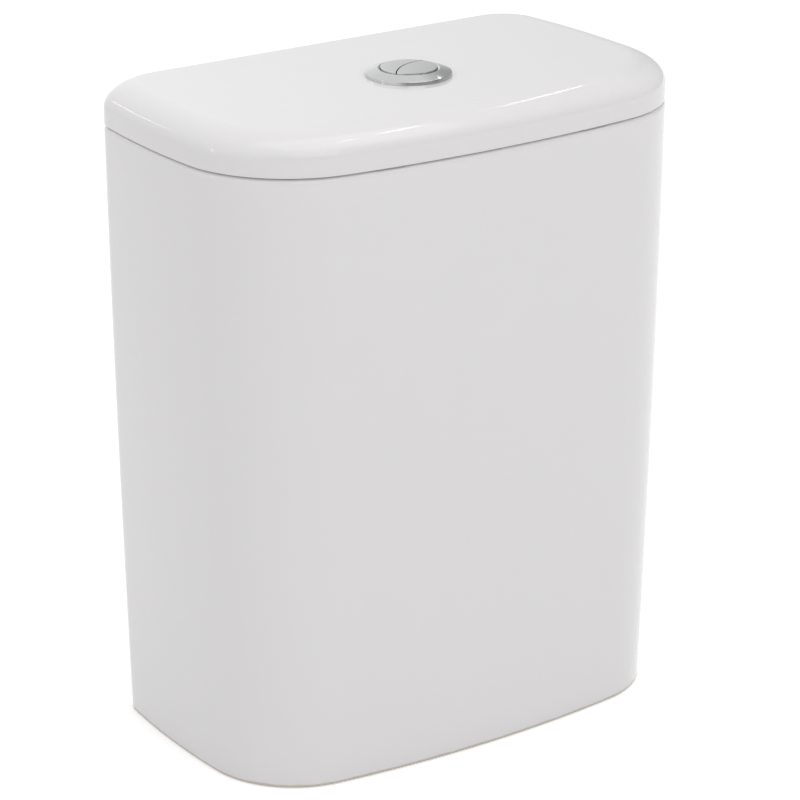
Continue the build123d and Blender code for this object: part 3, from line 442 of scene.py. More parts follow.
china = make_china()
inner_china = make_inner_china()
chrome = make_metal(
    "bright_chrome", colour=(0.55, 0.556, 0.554), haze=(0.50, 0.507, 0.505),
    stretch=(1.0, 1.0, 0.2), rough=(0.06, 0.14), bump=(0.000004, 0.1),
)
steel = make_metal(
    "zinc_steel", colour=(0.56, 0.57, 0.55), haze=(0.44, 0.45, 0.46),
    stretch=(1.0, 1.0, 0.15), rough=(0.24, 0.45), bump=(0.00001, 0.3),
)
wire = make_metal(
    "drawn_wire", colour=(0.60, 0.60, 0.58), haze=(0.5, 0.5, 0.49),
    stretch=(0.3, 0.3, 1.0), rough=(0.2, 0.32), bump=(0.000004, 0.2),
)
white_plastic = make_moulded(
    "white_moulded", colour=(0.80, 0.80, 0.79), tone=(0.73, 0.73, 0.71),
    amount=0.6, grain=1500.0, rough=(0.3, 0.45),
    constants={"Subsurface Weight": 0.05, "Subsurface Radius": (0.004, 0.004, 0.004)},
)
blue_plastic = make_moulded(
    "blue_moulded", colour=(0.045, 0.17, 0.46), tone=(0.03, 0.12, 0.36),
    amount=0.7, grain=1300.0, rough=(0.28, 0.42),
)
grey_plastic = make_moulded(
    "grey_moulded", colour=(0.30, 0.32, 0.33), tone=(0.24, 0.25, 0.26),
    amount=0.7, grain=1200.0, rough=(0.36, 0.52),
)
rubber = make_moulded(
    "black_rubber_skin", colour=(0.022, 0.022, 0.023), tone=(0.05, 0.05, 0.05),
    amount=0.6, grain=900.0, rough=(0.6, 0.8), bump=(0.00006, 0.5),
)
foam = make_moulded(
    "closed_cell_foam", colour=(0.075, 0.075, 0.08), tone=(0.13, 0.13, 0.135),
    amount=0.8, grain=420.0, rough=(0.85, 0.95), bump=(0.0005, 0.9),
)
pad = make_moulded(
    "soft_clear_pad", colour=(0.55, 0.55, 0.54), tone=(0.48, 0.48, 0.47),
    amount=0.5, grain=700.0, rough=(0.4, 0.55),
    constants={"Transmission Weight": 0.35, "IOR": 1.45},
)
strainer = make_filter_mesh()

finishes = (
    (china, ["tank", "lid"]),
    (chrome, ["button_bezel", "full_flush_button", "half_flush_button"]),
    (white_plastic, [
        "button_housing", "housing_nut", "full_flush_rod", "half_flush_rod", "flush_valve_base",
        "outlet_backnut", "valve_tower", "fill_shank", "fill_backnut", "fill_riser",
    ]),
    (blue_plastic, ["tower_head", "riser_lock_ring", "head_cap", "rod_clips", "full_flush_float"]),
    (grey_plastic, [
        "full_flush_lever", "half_flush_lever", "overflow_tube", "seal_retainer", "lift_yoke",
        "half_lift_link", "half_flush_float", "fill_head", "fill_float", "float_arm", "wing_nuts",
    ]),
    (strainer, ["inlet_filter"]),
    (rubber, [
        "outlet_seat_washer", "flush_seal", "bolt_cone_washers", "bolt_outer_rubbers",
        "fill_shank_washer", "diaphragm", "housing_washer",
    ]),
    (foam, ["doughnut_washer"]),
    (pad, ["lid_buffers"]),
    (steel, ["coupling_bolts", "bolt_inner_washers", "bolt_outer_washers", "lever_pins", "arm_pin"]),
    (wire, ["full_button_spring", "half_button_spring", "float_rod"]),
)
for surface, names in finishes:
    for name in names:
        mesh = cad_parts[name].data
        if not mesh.materials:
            mesh.materials.append(surface)
        for index in range(len(mesh.materials)):
            mesh.materials[index] = surface


def on_circle(centre, radius, angle):
    return centre[0] + radius * math.cos(angle), centre[1] + radius * math.sin(angle)


def sweep_points(centre, radius, start, end, count):
    """Points of an anticlockwise arc, without its last one."""
    first = math.atan2(start[1] - centre[1], start[0] - centre[0])
    last = math.atan2(end[1] - centre[1], end[0] - centre[0])
    return [on_circle(centre, radius, first + (last - first) * step / count) for step in range(count)]


def along(centre, target, radius):
    """Point on a circle in the direction of a target."""
    return centre + (target - centre).normalized() * radius


def plan_ring(half_width, front, back, bow_r, side_r, front_corner, back_corner, height):
    """Ring of points round the plan: bowed front, bowed sides, straight back, rounded corners."""
    bow_steps, front_corner_steps, side_steps, back_corner_steps, back_steps = 30, 26, 14, 12, 12
    bow_centre = Vector((0, front + bow_r))
    side_centre = Vector((half_width - side_r, side_widest_y))
    bow_reach, side_reach = bow_r - front_corner, side_r - front_corner
    across = side_centre - bow_centre
    span = across.length
    to_chord = (span**2 + bow_reach**2 - side_reach**2) / (2 * span)
    rise = math.sqrt(bow_reach**2 - to_chord**2)
    direction = across.normalized()
    sideways = Vector((direction.y, -direction.x))
    chord_foot = bow_centre + direction * to_chord
    meetings = [chord_foot + sideways * rise, chord_foot - sideways * rise]
    corner = max(meetings, key=lambda point: point.x - point.y)
    rear_y = back - back_corner
    reach = math.sqrt((side_r - back_corner) ** 2 - (rear_y - side_widest_y) ** 2)
    rear = Vector((side_centre.x + reach, rear_y))
    bow_end = along(bow_centre, corner, bow_r)
    side_start = along(side_centre, corner, side_r)
    side_end = along(side_centre, rear, side_r)
    half = sweep_points(bow_centre, bow_r, (0, front), bow_end, bow_steps)
    half += sweep_points(corner, front_corner, bow_end, side_start, front_corner_steps)
    half += sweep_points(side_centre, side_r, side_start, side_end, side_steps)
    half += sweep_points(rear, back_corner, side_end, (rear.x, back), back_corner_steps)
    half += [(rear.x * (1 - step / back_steps), back) for step in range(back_steps + 1)]
    other = [(-x, y) for x, y in reversed(half[1:-1])]
    return [Vector((x, y, height)) for x, y in half + other]


def body_ring(height, inset):
    """Ring of the body at a height, drawn in by an inset."""
    share = min(max(height / body_height, 0), 1)
    swell = barrel_swell * 4 * share * (1 - share)
    half_width = (foot_width + (overall_width - foot_width) * share) / 2 + swell
    front = front_y + foot_draw_in * (1 - share) - swell
    bow_r = foot_front_bow_r + (front_bow_r - foot_front_bow_r) * share
    corner_r = foot_front_corner_r + (front_corner_r - foot_front_corner_r) * share
    rear_r = foot_back_corner_r + (back_corner_r - foot_back_corner_r) * share
    return plan_ring(
        half_width - inset, front + inset, back_y - inset, bow_r - inset,
        side_bow_r - inset, corner_r - inset, max(rear_r - inset, least_corner_r), height,
    )


def lid_ring(height, inset, back_inset, corner_r=back_corner_r):
    """Ring of the lid at a height, drawn in by one inset and at the back by another."""
    return plan_ring(
        overall_width / 2 - inset, front_y + inset, back_y - back_inset, front_bow_r - inset,
        side_bow_r - inset, front_corner_r - inset, corner_r, height,
    )


def rib_ring(height, inset):
    """Ring of the locating rib under the lid."""
    return lid_ring(height, inset, inset, lid_rib_corner_r)


def hole_ring(like, centre, radius, height):
    """Ring on a circle, each point facing its own point of another ring."""
    angles = [math.atan2(point.y - centre[1], point.x - centre[0]) for point in like]
    return [Vector((*on_circle(centre, radius, angle), height)) for angle in angles]


def blend_rings(first, second, shares):
    return [[a.lerp(b, share) for a, b in zip(first, second)] for share in shares]


def quarter(count):
    """Shares that turn a corner: the first of each pair grows from 0 to 1, the second falls to 0."""
    angles = [math.pi / 2 * step / count for step in range(count + 1)]
    return [(1 - math.cos(angle), 1 - math.sin(angle)) for angle in angles]


def shade_smooth(mesh):
    mesh.polygons.foreach_set("use_smooth", [True] * len(mesh.polygons))


def mark_sharp(piece, degrees):
    piece.data.set_sharp_from_angle(angle=math.radians(degrees))


def mesh_piece(name, points, faces, materials, face_materials=None):
    """Object at the origin with its place in its mesh, in metres."""
    mesh = bpy.data.meshes.new(name)
    mesh.from_pydata([tuple(size * MM for size in point) for point in points], [], faces)
    for material in materials:
        mesh.materials.append(material)
    if face_materials:
        mesh.polygons.foreach_set("material_index", face_materials)
    mesh.validate()
    shade_smooth(mesh)
    piece = bpy.data.objects.new(name, mesh)
    bpy.context.scene.collection.objects.link(piece)
    return piece


def skin_loop(name, skin, materials):
    """Closed solid skinned over rings, each with its material's place. The last ring joins the first."""
    rings, places = zip(*skin)
    count = len(rings[0])
    points = [point for ring in rings for point in ring]
    faces = []
    for index in range(len(rings)):
        low, high = index * count, (index + 1) % len(rings) * count
        for step in range(count):
            after = (step + 1) % count
            faces.append((low + step, low + after, high + after, high + step))
    face_places = [place for place in places for step in range(count)]
    return mesh_piece(name, points, faces, materials, face_places)


def flip_outwards(piece):
    """Turns every face of a closed solid outwards."""
    shape = bmesh.new()
    shape.from_mesh(piece.data)
    bmesh.ops.recalc_face_normals(shape, faces=shape.faces)
    shape.to_mesh(piece.data)
    shape.free()


def evaluated_mesh(piece):
    """Plain mesh of a piece with its modifiers applied."""
    bpy.context.view_layer.update()
    return bpy.data.meshes.new_from_object(piece.evaluated_get(bpy.context.evaluated_depsgraph_get()))


def carve(piece, cutter, operation):
    """Cuts or keeps what a cutter covers, then throws the cutter away."""
    tool = piece.modifiers.new("carve", "BOOLEAN")
    tool.operation = operation
    tool.solver = "EXACT"
    tool.object = cutter
    settled = evaluated_mesh(piece)
    piece.modifiers.remove(tool)
    piece.data = settled
    old = cutter.data
    bpy.data.objects.remove(cutter)
    bpy.data.meshes.remove(old)


def soften_edges(piece, chooses, width, segments=3):
    """Rounds the sharp edges that a test picks out."""
    merge_distance, least_angle = 0.000002, math.radians(38)
    shape = bmesh.new()
    shape.from_mesh(piece.data)
    bmesh.ops.remove_doubles(shape, verts=shape.verts, dist=merge_distance)
    picked = [
        edge for edge in shape.edges
        if len(edge.link_faces) == 2 and edge.calc_face_angle(0) > least_angle
        and chooses(edge.verts[0].co / MM, edge.verts[1].co / MM)
    ]
    bmesh.ops.bevel(
        shape, geom=picked, offset=width * MM, segments=segments, profile=0.5,
        affect="EDGES", clamp_overlap=True,
    )
    shape.to_mesh(piece.data)
    shape.free()
    shade_smooth(piece.data)


def turned(name, profile, centre, materials, steps=96):
    """Solid of revolution from a closed profile of radius and height, poles included."""
    pole_r, sharp_angle = 1e-6, 40
    rings, points, faces = [], [], []
    for radius, height in profile:
        if radius < pole_r:
            rings.append([len(points)])
            points.append((centre[0], centre[1], height))
            continue
        rings.append(list(range(len(points), len(points) + steps)))
        for step in range(steps):
            points.append((*on_circle(centre, radius, 2 * math.pi * step / steps), height))
    for index, ring in enumerate(rings):
        following = rings[(index + 1) % len(rings)]
        if len(ring) == 1 and len(following) == 1:
            continue
        for step in range(steps):
            after = (step + 1) % steps
            if len(ring) == 1:
                faces.append((ring[0], following[after], following[step]))
            elif len(following) == 1:
                faces.append((ring[step], ring[after], following[0]))
            else:
                faces.append((ring[step], ring[after], following[after], following[step]))
    piece = mesh_piece(name, points, faces, materials)
    mark_sharp(piece, sharp_angle)
    return piece


def round_corners(corners, count=4):
    """Profile whose corners, given as radius, height and rounding, are turned into short arcs."""
    side_share = 0.49
    result = []
    for index, (x, z, rounding) in enumerate(corners):
        here = Vector((x, z))
        before = Vector(corners[index - 1][:2]) - here
        after = Vector(corners[(index + 1) % len(corners)][:2]) - here
        if rounding <= 0:
            result.append((x, z))
            continue
        spread = before.angle(after) / 2
        cut = min(rounding / math.tan(spread), before.length * side_share, after.length * side_share)
        start, end = here + before.normalized() * cut, here + after.normalized() * cut
        for step in range(count + 1):
            share = step / count
            arc = start * (1 - share) ** 2 + here * 2 * share * (1 - share) + end * share**2
            result.append((arc.x, arc.y))
    return result


def flared_cutter(radius, low, high, centre, flare):
    """Hole cutter that opens out at both faces of the wall, so that the hole gets soft lips."""
    lip_degrees = (12, 35, 60, 90)
    lips = []
    for degrees in lip_degrees:
        angle = math.radians(degrees)
        lips.append((radius + flare * (1 - math.sin(angle)), flare * (1 - math.cos(angle))))
    widest = lips[0][0]
    profile = [(0, low - overrun), (widest, low - overrun)]
    profile += [(lip_r, low + inwards) for lip_r, inwards in lips]
    profile += [(lip_r, high - inwards) for lip_r, inwards in reversed(lips)]
    profile += [(widest, high + overrun), (0, high + overrun)]
    return turned("cutter", profile, centre, [], steps=72)


def turn_to_back(piece, x, z):
    """Turns an upright cutter from the origin so that it goes through the back wall."""
    quarter_turn = Matrix.Rotation(math.radians(-90), 4, "X")
    piece.data.transform(Matrix.Translation((x * MM, 0, z * MM)) @ quarter_turn)


def make_notch_cutter():
    """Cutter of the pipe notch in the back of the skirt, with rounded upper corners."""
    low, reach, corner_steps = -2.0, 15.0, 10
    outline = round_corners([
        (-notch_half_width, low, 0), (notch_half_width, low, 0),
        (notch_half_width, notch_height, notch_corner_r),
        (-notch_half_width, notch_height, notch_corner_r),
    ], corner_steps)
    count = len(outline)
    points = [(x, y, z) for y in (back_y - reach, back_y + overrun) for x, z in outline]
    faces = [tuple(range(count)), tuple(reversed(range(count, 2 * count)))]
    for step in range(count):
        after = (step + 1) % count
        faces.append((step, count + step, count + after, after))
    cutter = mesh_piece("notch", points, faces, [])
    flip_outwards(cutter)
    return cutter


def on_notch(a, b):
    """Whether an edge runs along the notch on the outer or the inner face of the skirt."""
    slack, foot_clearance = 0.2, 2.6
    for point in (a, b):
        if abs(point.x) > notch_half_width + slack:
            return False
        if not foot_clearance < point.z < notch_height + slack:
            return False
        if min(abs(point.y - back_y), abs(point.y - back_y + skirt_wall)) > slack:
            return False
    return abs(a.y - b.y) < slack


def make_tank():
    """Body with soft rim and foot, hollow inside, cove round the floor and recess underneath."""
    foot_edge, rim_edge, rim_inner, lip, recess_corner, notch_edge = 1.5, 3.2, 2.6, 1.2, 4.0, 1.2
    wall_levels, hollow_levels, skirt_levels = 26, 18, 6
    glazed_share, floor_flare, wall_flare = 0.4, 1.0, 0.8
    floor_shares, ceiling_shares = (0.04, 0.3, 0.6, 0.9), (0.1, 0.4, 0.7, 0.96)
    skin = [(body_ring(foot_edge * grow, foot_edge * fall), GLAZED) for grow, fall in quarter(5)]
    for level in range(1, wall_levels):
        height = foot_edge + (body_height - rim_edge - foot_edge) * level / wall_levels
        skin.append((body_ring(height, 0), GLAZED))
    for grow, fall in quarter(5):
        skin.append((body_ring(body_height - rim_edge * fall, rim_edge * grow), GLAZED))
    for grow, fall in quarter(6):
        ring = body_ring(body_height - rim_inner * grow, body_wall - rim_inner * fall)
        skin.append((ring, GLAZED if grow < glazed_share else WASHED))
    hollow_top, cove_top = body_height - rim_inner, floor_top + floor_cove
    for level in range(1, hollow_levels):
        height = hollow_top - (hollow_top - cove_top) * level / hollow_levels
        skin.append((body_ring(height, body_wall), WASHED))
    for grow, fall in quarter(6):
        height = cove_top - floor_cove * (1 - fall)
        skin.append((body_ring(height, body_wall + floor_cove / 2 * grow), WASHED))
    edge = skin[-1][0]
    floor_lip = hole_ring(edge, outlet, outlet_hole_r + lip, floor_top)
    skin += [(ring, WASHED) for ring in blend_rings(edge, floor_lip, floor_shares)]
    for grow, fall in quarter(3):
        ring = hole_ring(edge, outlet, outlet_hole_r + lip * fall, floor_top - lip * grow)
        skin.append((ring, WASHED))
    for grow, fall in quarter(3):
        ring = hole_ring(edge, outlet, outlet_hole_r + lip * grow, recess_ceiling + lip * fall)
        skin.append((ring, WASHED))
    ceiling_lip = hole_ring(edge, outlet, outlet_hole_r + lip, recess_ceiling)
    ceiling = body_ring(recess_ceiling, skirt_wall + recess_corner)
    skin += [(ring, WASHED) for ring in blend_rings(ceiling_lip, ceiling, ceiling_shares)]
    for grow, fall in quarter(5):
        ring = body_ring(recess_ceiling - recess_corner * grow, skirt_wall + recess_corner * fall)
        skin.append((ring, WASHED))
    skirt_top = recess_ceiling - recess_corner
    for level in range(1, skirt_levels):
        height = skirt_top - (skirt_top - foot_edge) * level / skirt_levels
        skin.append((body_ring(height, skirt_wall), WASHED if level < skirt_levels - 1 else GLAZED))
    for grow, fall in quarter(5):
        skin.append((body_ring(foot_edge * fall, skirt_wall - foot_edge * grow), GLAZED))
    tank = skin_loop("tank_glazed", skin, [china, inner_china])
    floor_holes = [(spot, bolt_hole_r) for spot in bolt_spots] + [(inlet_spot, inlet_hole_r)]
    for centre, radius in floor_holes:
        cutter = flared_cutter(radius, recess_ceiling, floor_top, centre, floor_flare)
        carve(tank, cutter, "DIFFERENCE")
    for x in wall_hole_x:
        cutter = flared_cutter(wall_hole_r, back_y - body_wall, back_y, (0, 0), wall_flare)
        turn_to_back(cutter, x, body_height - wall_hole_drop)
        carve(tank, cutter, "DIFFERENCE")
    carve(tank, make_notch_cutter(), "DIFFERENCE")
    soften_edges(tank, on_notch, notch_edge)
    mark_sharp(tank, degrees=50)
    return tank


def make_lid():
    """Lid with a crisp lower edge, upright band, big roundover and a locating rib under it."""
    low_edge, lip, cove, rib_edge, rib_root = 0.4, 1.2, 2.4, 1.4, 1.0
    band_shares, top_shares = (0.35, 0.7, 0.96), (0.03, 0.25, 0.5, 0.75, 0.95)
    ceiling_shares = (0.1, 0.4, 0.7, 0.96)
    band_low, band_top, rib_low = lid_low + low_edge, lid_low + lid_band, lid_low - lid_rib_depth
    skin = []
    for grow, fall in quarter(4):
        ring = lid_ring(lid_low + low_edge * grow, low_edge * fall, low_edge * fall)
        skin.append((ring, GLAZED))
    for share in band_shares:
        skin.append((lid_ring(band_low + (lid_band - low_edge) * share, 0, 0), GLAZED))
    for grow, fall in quarter(26):
        height = band_top + (lid_height - lid_band) * (1 - fall)
        skin.append((lid_ring(height, lid_round_in * grow, lid_round_in_back * grow), GLAZED))
    edge = skin[-1][0]
    top_lip = hole_ring(edge, outlet, lid_hole_r + lip, lid_top)
    skin += [(ring, GLAZED) for ring in blend_rings(edge, top_lip, top_shares)]
    for grow, fall in quarter(3):
        skin.append((hole_ring(edge, outlet, lid_hole_r + lip * fall, lid_top - lip * grow), GLAZED))
    for grow, fall in quarter(3):
        skin.append((hole_ring(edge, outlet, lid_hole_r + lip * grow, lid_ceiling + lip * fall), WASHED))
    low_lip = hole_ring(edge, outlet, lid_hole_r + lip, lid_ceiling)
    ceiling = rib_ring(lid_ceiling, lid_rib_inner + cove)
    skin += [(ring, WASHED) for ring in blend_rings(low_lip, ceiling, ceiling_shares)]
    for grow, fall in quarter(4):
        skin.append((rib_ring(lid_ceiling - cove * grow, lid_rib_inner + cove * fall), WASHED))
    for grow, fall in quarter(4):
        skin.append((rib_ring(rib_low + rib_edge * fall, lid_rib_inner - rib_edge * grow), WASHED))
    for grow, fall in quarter(4):
        skin.append((rib_ring(rib_low + rib_edge * grow, lid_rib_outer + rib_edge * fall), WASHED))
    for grow, fall in quarter(4):
        skin.append((rib_ring(lid_low - rib_root * fall, lid_rib_outer - rib_root * grow), WASHED))
    lid = skin_loop("lid_glazed", skin, [china, inner_china])
    mark_sharp(lid, degrees=50)
    return lid


def make_bezel():
    """Chrome ring: upright edge, shallow cone and a rolled inner rim."""
    edge_high, crest_high, bore_high, hollow_high = 2.4, 5.0, 4.5, 1.5
    edge_draft, crest_width, edge_wall = 0.3, 1.5, 1.8
    corners = [
        (bezel_r, lid_top, 0.15),
        (bezel_r - edge_draft, lid_top + edge_high, 0.55),
        (button_bore_r + crest_width, lid_top + crest_high, 0.7),
        (button_bore_r, lid_top + bore_high, 0.5),
        (button_bore_r, lid_top + hollow_high, 0),
        (bezel_r - edge_wall, lid_top + hollow_high, 0),
        (bezel_r - edge_wall, lid_top, 0),
    ]
    return turned("button_bezel_chrome", round_corners(corners, count=6), outlet, [chrome], steps=160)


def chrome_cylinder(name, centre, radius, low, high, steps):
    return turned(name, [(0, low), (radius, low), (radius, high), (0, high)], centre, [chrome], steps)


def make_button(name, inside):
    """One button: the domed cap cut along the divider, hollow below, with eased edges."""
    half_gap, wall, dome_drop, eased, eased_band = 0.4, 1.2, 0.7, 0.32, 1.2
    dome_steps, cap_steps, hollow_steps, divider_steps = 15, 128, 96, 420
    shares = [step / dome_steps for step in range(dome_steps, -1, -1)]
    dome = [(button_r * share, button_top - dome_drop * share**2) for share in shares]
    profile = [(0, skirt_bottom), (button_r, skirt_bottom)] + dome
    cap = turned(name, profile, outlet, [chrome], cap_steps)
    away, keep = (-1, "INTERSECT") if inside else (1, "DIFFERENCE")
    edge_r = divider_r + away * half_gap
    wall_r = edge_r + away * wall
    low, high = skirt_bottom - overrun, button_top + overrun
    carve(cap, chrome_cylinder("knife", divider_centre, edge_r, low, high, divider_steps), keep)
    hollow = chrome_cylinder("hollow", outlet, button_r - wall, low, button_underside, hollow_steps)
    limit = chrome_cylinder("wall", divider_centre, wall_r, low - overrun, high, divider_steps)
    carve(hollow, limit, keep)
    carve(cap, hollow, "DIFFERENCE")
    soften_edges(cap, lambda a, b: min(a.z, b.z) > button_top - eased_band, eased)
    mark_sharp(cap, degrees=42)
    return cap


def make_shank():
    """Inlet shank and lower tube of the fill valve, with a thread core under the ridge."""
    bore_r, core_r, neck_r, flange_r, tube_r, tube_bore_r = 7.0, 9.6, 10.2, 20.0, 16.0, 13.2
    low, core_top, neck_low = 12.0, 44.0, 44.6
    flange_low, flange_top, tube_floor, tube_top = 67.0, 71.0, 75.0, 212.0
    corners = [
        (bore_r, low, 0.5), (core_r, low, 0.6), (core_r, core_top, 0), (neck_r, neck_low, 0),
        (neck_r, flange_low, 0), (flange_r, flange_low, 0.4), (flange_r, flange_top, 0.6),
        (tube_r, flange_top, 1.0), (tube_r, tube_top, 0.5), (tube_bore_r, tube_top, 0.4),
        (tube_bore_r, tube_floor, 0.6), (bore_r, tube_floor, 0.4),
    ]
    return turned("fill_shank_turned", round_corners(corners), inlet_spot, [white_plastic])


def make_bolt(name, centre):
    """Coupling bolt: domed slotted head and a thread core under the ridge."""
    low, seat, head_high = 8.0, 71.6, 76.6
    core_r, neck_r, head_r, core_drop, neck_length = 3.45, 3.7, 9.0, 6, 5
    slot_reach, slot_half_width, slot_depth, eased_band, eased = 10.0, 1.0, 2.2, 2.0, 0.25
    corners = [
        (core_r, low, 0.6), (core_r, seat - core_drop, 0), (neck_r, seat - neck_length, 0),
        (neck_r, seat, 0), (head_r, seat, 0.4), (head_r, head_high, 1.5), (0, head_high, 0), (0, low, 0),
    ]
    bolt = turned(name, round_corners(corners, count=5), centre, [steel], steps=72)
    points = [
        (centre[0] + x, centre[1] + y, z)
        for x in (-slot_reach, slot_reach)
        for y in (-slot_half_width, slot_half_width)
        for z in (head_high - slot_depth, head_high + overrun)
    ]
    faces = [(0, 1, 3, 2), (4, 6, 7, 5), (0, 4, 5, 1), (2, 3, 7, 6), (0, 2, 6, 4), (1, 5, 7, 3)]
    cutter = mesh_piece("slot", points, faces, [])
    flip_outwards(cutter)
    carve(bolt, cutter, "DIFFERENCE")
    soften_edges(bolt, lambda a, b: min(a.z, b.z) > head_high - eased_band, eased, segments=2)
    mark_sharp(bolt, degrees=35)
    return bolt


def make_thread_tree():
    """Helical ridge: a spiral with a diamond section, set at a place and given a material."""
    spiral_steps, section_sides = 48, 4
    tree, given, result = new_group(
        "screw_thread",
        {
            "Radius": "Float", "Pitch": "Float", "Turns": "Float", "Depth": "Float", "Foot": "Vector",
            "Surface": "Material",
        },
        {"Geometry": "Geometry"},
        "GeometryNodeTree",
    )
    height = add_math(tree, "MULTIPLY", given["Pitch"], given["Turns"])
    spiral = tree.nodes.new("GeometryNodeCurveSpiral")
    spiral_values = {
        "Resolution": spiral_steps, "Rotations": given["Turns"], "Height": height,
        "Start Radius": given["Radius"], "End Radius": given["Radius"],
    }
    for label, value in spiral_values.items():
        feed(tree, spiral.inputs[label], value)
    upright = tree.nodes.new("GeometryNodeSetCurveNormal")
    upright.mode = "Z_UP"
    feed(tree, upright.inputs["Curve"], spiral.outputs[0])
    section = tree.nodes.new("GeometryNodeCurvePrimitiveCircle")
    feed(tree, section.inputs["Resolution"], section_sides)
    feed(tree, section.inputs["Radius"], given["Depth"])
    ridge = tree.nodes.new("GeometryNodeCurveToMesh")
    feed(tree, ridge.inputs["Fill Caps"], True)
    feed(tree, ridge.inputs["Curve"], upright.outputs[0])
    feed(tree, ridge.inputs["Profile Curve"], section.outputs[0])
    place = tree.nodes.new("GeometryNodeTransform")
    feed(tree, place.inputs["Geometry"], ridge.outputs[0])
    feed(tree, place.inputs["Translation"], given["Foot"])
    real = tree.nodes.new("GeometryNodeRealizeInstances")
    feed(tree, real.inputs[0], place.outputs[0])
    dressed = tree.nodes.new("GeometryNodeSetMaterial")
    feed(tree, dressed.inputs["Geometry"], real.outputs[0])
    feed(tree, dressed.inputs["Material"], given["Surface"])
    feed(tree, result["Geometry"], dressed.outputs[0])
    return tree


thread_tree = make_thread_tree()


def make_thread(name, centre, surface, crest_r, pitch, low, high, depth):
    """Thread ridge whose crest reaches a radius, as a plain mesh."""
    holder = bpy.data.objects.new(name, bpy.data.meshes.new(name))
    bpy.context.scene.collection.objects.link(holder)
    tool = holder.modifiers.new("thread", "NODES")
    tool.node_group = thread_tree
    wanted = {
        "Radius": (crest_r - depth) * MM, "Pitch": pitch * MM, "Turns": (high - low) / pitch,
        "Depth": depth * MM, "Foot": (centre[0] * MM, centre[1] * MM, low * MM), "Surface": surface,
    }
    for item in thread_tree.interface.items_tree:
        if item.item_type == "SOCKET" and item.in_out == "INPUT":
            tool[item.identifier] = wanted[item.name]
    settled = evaluated_mesh(holder)
    holder.modifiers.remove(tool)
    holder.data = settled
    mark_sharp(holder, degrees=30)
    return holder


def make_spring(name, rod_offset):
    """Return spring round a push rod, from the cup's floor to the underside of its button."""
    turns, steps, sides = 8, 24, 8
    centre = Vector((*on_circle(outlet, rod_offset, divider_angle), 0))
    low = spring_floor + spring_seat + wire_r
    high = button_underside - spring_seat - wire_r
    slope = (high - low) / (2 * math.pi * turns * coil_r)
    points, faces = [], []
    for step in range(turns * steps + 1):
        angle = 2 * math.pi * step / steps
        height = low + (high - low) * step / (turns * steps)
        outwards = Vector((math.cos(angle), math.sin(angle), 0))
        forwards = Vector((-math.sin(angle), math.cos(angle), slope)).normalized()
        upwards = outwards.cross(forwards)
        for side in range(sides):
            turn = 2 * math.pi * side / sides
            offset = wire_r * (math.cos(turn) * outwards + math.sin(turn) * upwards)
            points.append(centre + coil_r * outwards + Vector((0, 0, height)) + offset)
    for step in range(turns * steps):
        for side in range(sides):
            first, second = step * sides + side, step * sides + (side + 1) % sides
            faces.append((first, second, second + sides, first + sides))
    faces.append(tuple(reversed(range(sides))))
    faces.append(tuple(range(turns * steps * sides, (turns * steps + 1) * sides)))
    spring = mesh_piece(name, points, faces, [wire])
    flip_outwards(spring)
    mark_sharp(spring, degrees=60)
    return spring


def settle(piece, body, slot, *nodes):
    """Gives a finished piece its body and the nodes that it stands for. The slot is not used."""
    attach(piece, body)
    if nodes:
        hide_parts(*nodes)


settle(make_tank(), "cistern", "china", "tank")
settle(make_lid(), "lid", "china", "lid")
settle(make_bezel(), "lid", "chrome", "button_bezel")
settle(make_button("full_button_chrome", True), "full_button", "chrome", "full_flush_button")
settle(make_button("half_button_chrome", False), "half_button", "chrome", "half_flush_button")
for size, rod_offset in (("full", full_rod_offset), ("half", half_rod_offset)):
    spring = make_spring(f"{size}_button_coil", rod_offset)
    settle(spring, "lid", "steel", f"{size}_button_spring")
    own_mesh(spring)
settle(make_shank(), "cistern", "white_plastic", "fill_shank")
for side, spot in zip(("left", "right"), bolt_spots):
    settle(make_bolt(f"coupling_bolt_{side}", spot), "cistern", "steel", "coupling_bolts")
    bolt_thread = make_thread(
        f"bolt_thread_{side}", spot, steel, crest_r=4.0, pitch=1.25, low=9.0, high=64.5, depth=0.55,
    )
    settle(bolt_thread, "cistern", "steel")
inlet_thread = make_thread(
    "inlet_thread", inlet_spot, white_plastic, crest_r=10.48, pitch=1.814, low=13.2, high=43.2, depth=0.8,
)
settle(inlet_thread, "cistern", "white_plastic")
housing_thread = make_thread(
    "housing_thread", outlet, white_plastic, crest_r=21.22, pitch=2.0, low=415.5, high=436.5, depth=0.6,
)
settle(housing_thread, "lid", "white_plastic")


def add_strip(name, start, end, width, power):
    """Strip lamp from one point to another, in metres and watts, turned towards the lid."""
    start, end = Vector(start), Vector(end)
    middle = (start + end) / 2
    data = bpy.data.lights.new(name, "AREA")
    data.shape = "RECTANGLE"
    data.size, data.size_y = (end - start).length, width
    data.energy = power
    away = (middle - Vector((0, 0, lid_top * MM))).normalized()
    across = away.cross(end - start).normalized()
    lamp = bpy.data.objects.new(name, data)
    bpy.context.scene.collection.objects.link(lamp)
    facing = Matrix((across.cross(away), across, away)).transposed().to_4x4()
    lamp.matrix_world = Matrix.Translation(middle) @ facing


